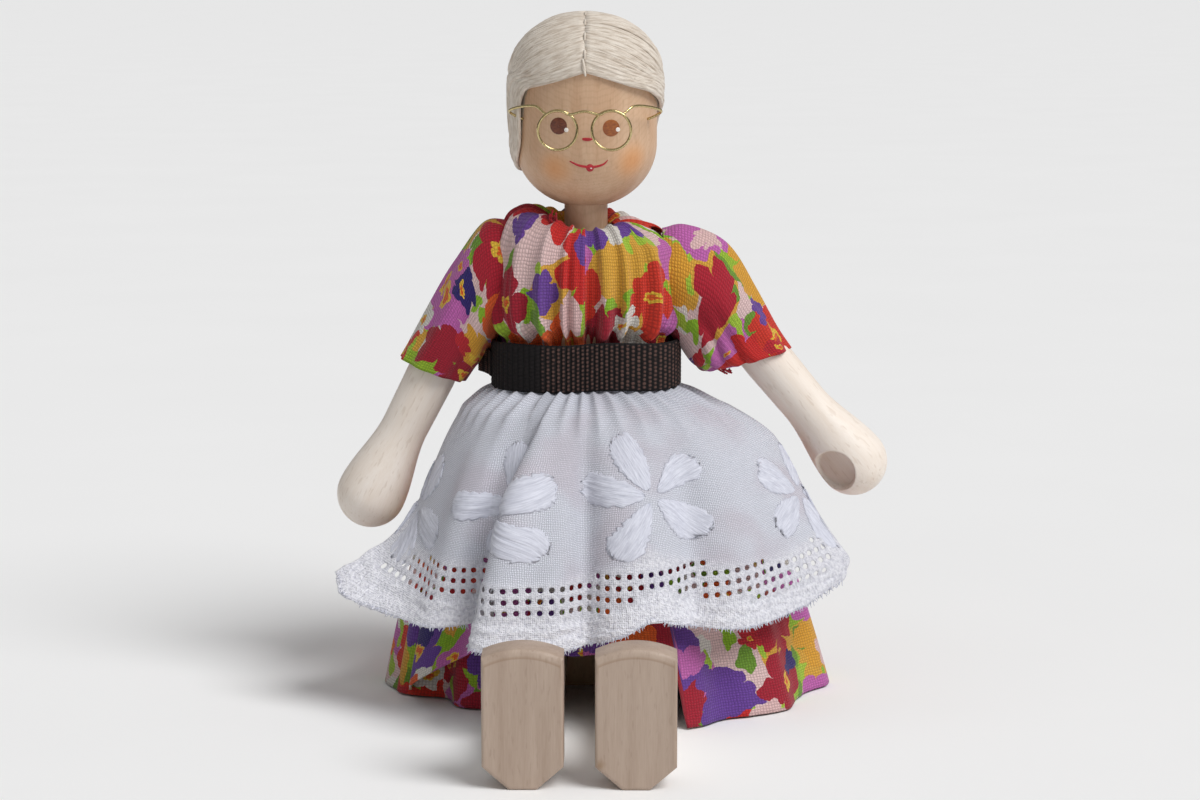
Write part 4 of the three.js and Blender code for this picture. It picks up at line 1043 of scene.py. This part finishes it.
# Skirt, fitted to the photograph where its hem is lifted and tucked in
SKIRT_LEFT_REACH = 30.2
LEFT_HEM_FALL = 1.08
RIGHT_HEM_FALL = 3.0
TUCK_ENDS = (-1.35, -0.53)
TUCK_DEPTH = 4.6
TUCK_HEIGHT = 13.0
SKIRT_DROP = 46.0


def flare(height):
    """How far down the flare a height is, from 0 at the belt to 1 on the ground."""
    return np.maximum(1 - height / BELT_BOTTOM, 0)


def skirt_radius(turn, height):
    """Distance from the axis to the middle of the skirt's folds."""
    share = flare(height) ** SKIRT_FULLNESS
    side_reach = np.where(np.sin(turn) < 0, SKIRT_RIGHT_REACH, SKIRT_LEFT_REACH)
    half_width = lerp(WAIST_HALF_WIDTH, side_reach, share)
    half_depth = lerp(WAIST_HALF_DEPTH, SKIRT_HALF_DEPTH, share)
    squarish = section_radius(turn, WAIST_HALF_WIDTH, WAIST_HALF_DEPTH)
    oval = half_width * half_depth / np.hypot(half_depth * np.sin(turn), half_width * np.cos(turn))
    return lerp(squarish, oval, np.minimum(4 * share, 1))


def skirt_fold(height):
    return PLEAT + (SKIRT_FOLD - PLEAT) * np.sqrt(flare(height))


def skirt_hem(turn):
    """Height of the skirt's hem, lifted in front by the legs."""
    edge = math.asin((LEG_X + LEG_RADIUS + 3 * GAP) / SKIRT_HALF_DEPTH)
    away = np.abs(np.arctan2(np.sin(turn), np.cos(turn)))
    foot = np.where(np.sin(turn) > 0, LEFT_HEM_FALL, RIGHT_HEM_FALL) * edge
    return lerp(HIP_Z + LEG_RADIUS + 3 * GAP, HEM_GAP, smoothstep(away, edge, foot))


def make_skirt(cotton):
    """The gathered skirt, and the layer of it that is tucked in behind the right foot."""
    rows, columns = 90, 640
    turn = even_turns(columns)
    share = np.linspace(-0.07, 1, rows)[:, None]
    height = lerp(BELT_BOTTOM, skirt_hem(turn), share)
    main = np.cos(SKIRT_FOLD_COUNT * turn + 0.5 * np.sin(2 * turn + 1) * share)
    fine = pleats(turn, 31, 0.4, 1.1)
    swing = 0.78 * main * (0.85 + 0.15 * np.cos(3 * turn + 1)) + 0.2 * fine * (1 - 0.6 * share)
    grid = around_z(turn, skirt_radius(turn, height) + skirt_fold(height) * swing, height)
    around = 1.04 * SKIRT_HALF_DEPTH * even_turns(columns, closed=True)
    uv = mapped(around, SKIRT_DROP * share) + (5, 60)
    shape = Shape().grid(grid[::-1], uv[::-1], wraps=True)
    turn = np.linspace(*TUCK_ENDS, 140)[None]
    height = np.linspace(HEM_GAP, TUCK_HEIGHT, 26)[:, None]
    drawn_in = smoothstep(turn, TUCK_ENDS[0], TUCK_ENDS[0] + 0.5)
    inward = TUCK_DEPTH * (1 - 0.5 * height / TUCK_HEIGHT) * drawn_in
    grid = around_z(turn, skirt_radius(turn, height) - inward + 0.8 * np.cos(16 * turn), height)
    uv = mapped(SKIRT_HALF_DEPTH * turn + 150, 100 - height)
    made = shape.grid(grid, uv).piece("skirt_cloth", cotton, "torso", "print", ["dress_skirt"])
    thicken(made, CLOTH_THICKNESS)


# Apron
APRON_HEM = 11.0
APRON_TIP_HEM = 15.6
APRON_RIGHT_TIP = 12.0
APRON_LEFT_TIP = 7.0
APRON_RIGHT_TIP_POWER = 6
APRON_LEFT_TIP_POWER = 3.5
APRON_FRONT_REACH = 4.0
APRON_TOP_TURN = 92 * DEG
APRON_TIP_TURN = 68 * DEG
APRON_SWELL = 4.2
APRON_LENGTH = 34.0
APRON_FOLDS = (
    (-0.5, -0.56, 0.1, 1.3), (-0.29, -0.40, 0.08, -6.5), (-0.18, -0.27, 0.055, 4.2),
    (-0.1, -0.17, 0.11, 2.2), (0.0, 0.01, 0.055, -2.0), (0.17, 0.17, 0.13, 1.2),
    (0.42, 0.42, 0.07, -1.6), (0.62, 0.58, 0.1, 0.8),
)
FOLD_LEAN = 0.075
FOLD_LEAN_WIDTH = 0.05
GATHERS = 19
HEM_LINE = ((-1.0, -1.2), (-0.92, 0.6), (-0.38, -1.3), (0.23, -4.0), (0.895, 0.9), (1.0, 0.0))
SCALLOPS = ((-0.92, -0.38, 1.3), (-0.38, 0.23, 3.1), (0.23, 0.895, 2.0))
EYELET = 0.69
EYELET_NEAR = 4.5
EYELET_FAR = 9.6
BORDER = 4.1
BAND_NEAR = 3.2
BAND_FAR = 11.0


def apron_point(across, share):
    """A point of the apron, from -1 to 1 across and from 0 at the belt to 1 at the hem."""
    across, share = np.broadcast_arrays(across, share)
    low = np.maximum(share, 0)
    hem = lerp(APRON_HEM, APRON_TIP_HEM, across ** 2)
    height = lerp(BELT_BOTTOM, hem, share)
    turn = across * lerp(APRON_TOP_TURN, APRON_TIP_TURN, low)
    lean = FOLD_LEAN * smoothstep(low, -0.1, 0.4)
    turn = turn - lean * hump(across, lerp(-0.2, -0.29, low), FOLD_LEAN_WIDTH)
    under = skirt_radius(turn, height) + skirt_fold(height) + GAP + SOLID_CLOTH
    folds = np.zeros(across.shape)
    grow = smoothstep(low, -0.02, 0.45)
    for top, bottom, width, size in APRON_FOLDS:
        folds = folds + size * grow * hump(across, lerp(top, bottom, low), width)
    puffs = 0.5 + 0.5 * pleats(across * math.pi, GATHERS, 0.5, 0.8)
    gather = 0.9 * puffs * hump(low, 0.06, 0.09)
    tip_reach = np.where(across < 0, APRON_RIGHT_TIP, APRON_LEFT_TIP)
    tip_power = np.where(across < 0, APRON_RIGHT_TIP_POWER, APRON_LEFT_TIP_POWER)
    tip_fall = np.where(across < 0, low, np.minimum(low / 0.88, 1))
    tip = tip_reach * across ** 4 * tip_fall ** tip_power
    full = smoothstep(low, 0, 0.3) * (1 - 0.9 * np.minimum(low, 1) ** 3)
    swell = np.where(across > 0, APRON_SWELL, 0) * across ** 2 * full
    front = APRON_FRONT_REACH * (1 - across ** 2) * low
    loose = front + folds * (1 - across ** 4) + gather
    radius = under + tip + swell + np.log1p(np.exp(4 * loose)) / 4 - 0.17
    return around_z(turn, radius, height + 0.5 * puffs * hump(share, 0.03, 0.04))


def apron_frame(across, share):
    """The apron's point, its unit directions across and down, and its outward normal."""
    step = 1e-4
    here = apron_point(across, share)
    side = (apron_point(across + step, share) - here) / step
    down = (apron_point(across, share + step) - here) / step
    return here, side, down, unit(np.cross(down, side))


def apron_scale(across, share, side, down):
    """Millimetres of cloth per step across or down, over a chord about a place."""
    chord = apron_point(across + side, share + down) - apron_point(across - side, share - down)
    return np.linalg.norm(chord) / (2 * (side + down))


def scallop(across):
    """How far the hem hangs below its middle line."""
    line = np.interp(across, *np.array(HEM_LINE).T)
    for start, end, depth in SCALLOPS:
        line = line + depth * np.sin(math.pi * np.clip((across - start) / (end - start), 0, 1)) ** 0.7
    return line


def make_apron(cloth, thread):
    sample = np.linspace(-1, 1, 2001)
    length = run_length(apron_point(sample, np.array(0.88)))
    columns = int(length[-1] / EYELET) | 1
    along = np.linspace(0, length[-1], columns)
    across = np.interp(along, length, sample)
    edge = 1 + scallop(across) / APRON_LENGTH + 0.1 / APRON_LENGTH * np.cos(np.arange(columns) * math.pi)
    band_top = 1 - BAND_FAR / APRON_LENGTH
    band_low = 1 - BAND_NEAR / APRON_LENGTH
    band_rows = int((band_low - band_top) * APRON_LENGTH / EYELET)
    shares = [np.full(columns, s) for s in np.linspace(-0.1, band_top, 64)[:-1]]
    first_band = len(shares)
    shares += [np.full(columns, s) for s in np.linspace(band_top, band_low, band_rows)]
    shares += [lerp(np.full(columns, band_low), edge, k / 9) for k in range(1, 10)]
    share = np.stack(shares)
    point, _, _, normal = apron_frame(np.broadcast_to(across, share.shape), share)
    from_edge = (edge - share) * APRON_LENGTH
    border = 1 - smoothstep(from_edge, BORDER - 0.3, BORDER + 0.2)
    cords = hump(from_edge, 1.1, 0.8) + hump(from_edge, 3.1, 0.7)
    raised = border * (0.12 + 0.22 * cords + 0.1 * RANDOM.normal(size=share.shape))
    r, c = np.meshgrid(np.arange(len(share) - 1), np.arange(columns - 1), indexing="ij")
    hole = ((r - first_band) % 2 == 1) & (c % 2 == 1) & (r > first_band)
    middle = from_edge[:-1, :-1]
    hole &= (middle > EYELET_NEAR) & (middle < EYELET_FAR)
    hole &= (c > 3) & (c < columns - 5)
    worked = np.zeros(share.shape)
    for dr in (0, 1):
        for dc in (0, 1):
            worked[dr:len(share) - 1 + dr, dc:columns - 1 + dc] += hole
    near = smoothstep(from_edge, EYELET_FAR + 0.8, EYELET_FAR - 1.0) * (1 - border)
    raised = raised + 0.12 * (worked > 0) + 0.05 * near
    uv = mapped(along, share * APRON_LENGTH)
    dense = np.clip(np.maximum(border, 0.9 * near), 0, 1)
    point = point + raised[..., None] * normal
    made = Shape().grid(point[::-1], uv[::-1], keep=~hole[::-1], edge=dense[::-1]) \
        .piece("apron_cloth", cloth, "torso", "batiste", ["apron"])
    thicken(made, CLOTH_THICKNESS, subdivide=1)
    stitching = make_embroidery(thread)
    fringe = make_fringe(thread, sample, length)


FRINGE_PITCH = 0.2
FRINGE_RADIUS = 0.075
FRINGE_LENGTH = 0.5


def make_fringe(thread, sample, length):
    """Short thread ends that make the worked hem fuzzy."""
    shape = Shape()
    for place in np.arange(0.3, length[-1] - 0.3, FRINGE_PITCH):
        across = np.interp(place + 0.1 * RANDOM.normal(), length, sample)
        start = 1 + scallop(across) / APRON_LENGTH - 0.35 / APRON_LENGTH
        here, side, down, normal = apron_frame(np.array(across), np.array(start))
        slant = 0.5 * RANDOM.normal()
        lift = 0.2 + 0.35 * RANDOM.normal()
        way = unit(unit(down) + slant * unit(side) + lift * normal)
        reach = 0.35 + FRINGE_LENGTH * RANDOM.uniform(0.2, 1.0)
        t = np.linspace(0, 1, 4)[:, None]
        shape.tube(here + 0.1 * normal + reach * t * way, FRINGE_RADIUS * (1 - 0.5 * t[:, 0]), 5)
    return shape.piece("apron_fringe", thread, "torso", "batiste")


EMBROIDERED = (
    (-0.93, 0.62, 20, 8.2), (-0.3, 0.46, -16, 8.4), (0.27, 0.4, -8, 8.6), (0.95, 0.55, 24, 8.6),
)
PETAL_HALF_WIDTH = 3.15
PETAL_RISE = 0.2


def make_embroidery(thread):
    """Five-petal flowers in raised satin stitch."""
    shape = Shape()
    t = np.linspace(0.0, 1.0, 34)[:, None]
    w = np.linspace(-1, 1, 21)[None]
    for across, share, tilt, length in EMBROIDERED:
        side_scale = apron_scale(across, share, 0.2, 0)
        down_scale = apron_scale(across, share, 0, 0.2)
        for petal in range(5):
            angle = (tilt + 72 * petal + 6 * RANDOM.normal()) * DEG
            reach = length * RANDOM.uniform(0.85, 1.08)
            half = PETAL_HALF_WIDTH * RANDOM.uniform(0.85, 1.05) * t ** 0.62 * np.sqrt(1.08 - t ** 4)
            out = lerp(0.9, reach, t) + 0.16 * RANDOM.normal(size=w.shape) * smoothstep(t, 0.75, 1.0)
            ragged = half * w * (1 + 0.07 * RANDOM.normal(size=t.shape) * np.abs(w) ** 4)
            x = out * math.sin(angle) + ragged * math.cos(angle)
            y = out * math.cos(angle) - ragged * math.sin(angle)
            a = np.clip(across + x / side_scale, -0.985, 0.985)
            s = np.clip(share - y / down_scale, 0.04, 0.99)
            point, _, _, normal = apron_frame(a, s)
            crown = np.sqrt(np.clip(1 - w ** 2, 0, 1)) * np.clip(np.sin(math.pi * t), 0, 1) ** 0.5
            uneven = 0.05 * RANDOM.normal(size=w.shape) * (1 - w ** 2) * (1 - t ** 6)
            rise = 0.02 + PETAL_RISE * crown + uneven
            uv = mapped(half * w + 9 * petal, out)
            shape.grid(point + rise[..., None] * normal, uv)
    made = shape.piece("apron_embroidery", thread, "torso", "batiste")
    return thicken(made, 0.12)


# Belt
RIB_PITCH = 0.7
STITCH_PITCH = 0.5
RIB_HEIGHT = 0.2
BELT_MEAN_RADIUS = 10.6
TAPE_THICKNESS = 0.4


def make_belt(material):
    ribs = int(TURN * BELT_MEAN_RADIUS / RIB_PITCH)
    columns = 12 * ribs
    turn = even_turns(columns)
    height = np.linspace(0, 1, 70)[:, None]
    rise = BELT_TOP - BELT_BOTTOM
    rib = np.abs(np.sin(ribs * turn / 2))
    stagger = 0.5 * math.pi * (np.floor(ribs * turn / TURN) % 2)
    row = np.abs(np.sin(math.pi * height * rise / STITCH_PITCH + stagger))
    lift = (rib ** 0.7) * (0.45 + 0.55 * row ** 0.8) * smoothstep(np.minimum(height, 1 - height), 0, 0.05)
    radius = section_radius(turn, BELT_HALF_WIDTH, BELT_HALF_DEPTH) - RIB_HEIGHT + RIB_HEIGHT * lift
    wave = 0.16 * np.sin(2 * turn + 0.6) + 0.1 * np.sin(5 * turn)
    grid = around_z(turn, radius, lerp(BELT_BOTTOM, BELT_TOP, height) + wave)
    uv = mapped(BELT_MEAN_RADIUS * even_turns(columns, closed=True), rise * height)
    # Painted highlight on the raised ribs, half as strong on the doll's right side, away from the key
    # light.
    rib_highlight = lift * lerp(0.5, 1, smoothstep(grid[..., 0], -6.5, -4.5))
    made = Shape().grid(grid, uv, wraps=True, rib=rib_highlight) \
        .piece("belt_tape", material, "torso", "tape", ["waist_belt"])
    thicken(made, TAPE_THICKNESS)
    end = np.linspace(0, 1, 30)[None]
    up = np.linspace(0, 1, 60)[:, None]
    row = np.abs(np.sin(math.pi * up * rise / STITCH_PITCH))
    lift = np.abs(np.sin(9 * end)) ** 0.7 * (0.45 + 0.55 * row)
    flap_turn = lerp(-78 * DEG, -92 * DEG, end)
    out = section_radius(flap_turn, BELT_HALF_WIDTH + 0.1, BELT_HALF_DEPTH + 0.1)
    out = out + 1.5 * end ** 2 + 0.15 * lift
    flap = around_z(flap_turn, out, lerp(BELT_BOTTOM + 1.2, BELT_TOP - 1.6, up) + 0.3 * end)
    uv = mapped(3 * end, 4 * up)
    # The flap's raised ribs carry the same painted highlight as the belt.
    made = Shape().grid(flap[:, ::-1], uv[:, ::-1], rib=lift[:, ::-1]) \
        .piece("belt_end", material, "torso", "tape")
    thicken(made, TAPE_THICKNESS)


TUFTS = (
    ("neckline", "torso", (-3.9, -5.2, 58.6), (-0.15, -0.1, 1.0), 7, 1.1),
    ("cuff", "left_arm", (17.3, -2.6, 40.4), (0.35, -0.2, -0.7), 9, 1.2),
)


def make_threads(material):
    """Frayed thread ends at the neckline and at one cuff."""
    for name, body, start, way, count, reach in TUFTS:
        shape = Shape()
        for _ in range(count):
            root = np.array(start) + RANDOM.normal(size=3) * (0.35, 0.2, 0.1)
            drift = np.array(way) + 0.25 * RANDOM.normal(size=3)
            bend = RANDOM.normal(size=3) * 0.3
            t = np.linspace(0, 1, 12)[:, None]
            length = reach * RANDOM.uniform(0.5, 1.1)
            shape.tube(root + length * (drift * t + bend * t ** 2), FRAY_RADIUS, 6)
        shape.piece(f"{name}_threads", material, body)


# Stage
CAMERA_PLACE = (5.6, -350.0, 91.0)
CAMERA_PITCH = 8.93 * DEG
CAMERA_YAW = 0.63 * DEG
CAMERA_LENS = 84.0
SENSOR_WIDTH = 36.0
FLOOR_HALF = 8.0
LIGHTS = (
    ("key", (0.78, -0.58, 1.12), 34 * DEG, 2.35),
    ("fill", (-0.8, -0.6, 0.7), 60 * DEG, 0.04),
)
SKY_LOW = 0.06
SKY_HIGH = 0.46


def make_stage():
    """A pale floor, soft lights and a camera at the photograph's angle."""
    mesh = bpy.data.meshes.new("floor")
    corners = [(x * FLOOR_HALF, y * FLOOR_HALF, 0) for x, y in ((-1, -1), (1, -1), (1, 1), (-1, 1))]
    mesh.from_pydata(corners, [], [(0, 1, 2, 3)])
    floor = add_object("floor", mesh)
    s = Shader("floor", Roughness=0.9)
    clouds = s.noise(s.place(), 0.02, 2.0)
    s.set("Base Color", s.ramp(clouds, [(0.3, grey(0.928)), (0.7, grey(0.94))]))
    mesh.materials.append(s.material)

    camera = add_object("camera", bpy.data.cameras.new("camera"))
    camera.data.lens = CAMERA_LENS
    camera.data.sensor_width = SENSOR_WIDTH
    camera.data.clip_start = 0.01
    camera.location = Vector(CAMERA_PLACE) * MM
    camera.rotation_euler = (math.pi / 2 - CAMERA_PITCH, 0, CAMERA_YAW)
    bpy.context.scene.camera = camera

    for name, place, spread, power in LIGHTS:
        light = add_object(name, bpy.data.lights.new(name, "SUN"))
        light.data.angle = spread
        light.data.energy = power
        light.rotation_euler = (-Vector(place)).to_track_quat("-Z", "Y").to_euler()

    world = bpy.data.worlds.new("studio")
    bpy.context.scene.world = world
    world.use_nodes = True
    nodes, links = world.node_tree.nodes, world.node_tree.links
    way = nodes.new("ShaderNodeTexCoord").outputs["Generated"]
    parts = nodes.new("ShaderNodeSeparateXYZ")
    shade = nodes.new("ShaderNodeMapRange")
    shade.inputs["To Min"].default_value = SKY_LOW
    shade.inputs["To Max"].default_value = SKY_HIGH
    links.new(way, parts.inputs[0])
    links.new(parts.outputs["Z"], shade.inputs["Value"])
    links.new(shade.outputs[0], nodes["Background"].inputs["Strength"])
    nodes["Background"].inputs["Color"].default_value = (1, 1, 1, 1)
    bpy.context.scene.view_settings.view_transform = "Standard"


def dress_solids(beech, steel):
    """Finishes for the inner solids that stay as they are."""
    for name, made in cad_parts.items():
        if name.endswith(("axle", "arm_pin")):
            made.material_slots[0].material = steel
        elif name.endswith(("torso_block", "shoulder_peg", "foot_dowel")):
            made.material_slots[0].material = beech


maple = wood("maple", "#f8efe6", "#e9dacb", "#b79c80", flecked=0.22)
# A darker, tanner copy of the maple for the head and neck: partly the head's own wood tone, partly
# painted shade.
face = wood("maple_face_with_painted_shade", "#d9b899", "#c59c7a", "#a57d59", 0.2, blush=BLUSH, rings=0.12)
beech = wood("beech", "#bda999", "#a48e7d", "#866e5b", flecked=0.2)
inner_beech = wood("inner_beech", "#dcc4a6", "#c7a586", "#a1826a", local=True)
steel = metal("steel", "#b9bcc0", "#85888c", 0.35)
brass = metal("brass", "#e0cf9c", "#8c7440", 0.16)
cream = yarn("yarn", "#ebe2d6", "#b3a18e")
# A darker copy of the yarn: painted shade for under the hair strands.
shaded_under_yarn = yarn("yarn_under_painted_shade", "#b9a994", "#8d7d69")
cotton = print_cotton()

make_stage()
make_head(face)
make_face()
make_hair(cream, shaded_under_yarn)
make_spectacles(brass)
make_arms(maple)
make_legs(maple, beech)
make_bodice(cotton)
make_sleeves(cotton)
make_skirt(cotton)
make_apron(batiste(), satin_stitch())
make_belt(tape())
make_threads(paint("thread", "#b8202f", "#8c1524", 0.9))
dress_solids(inner_beech, steel)
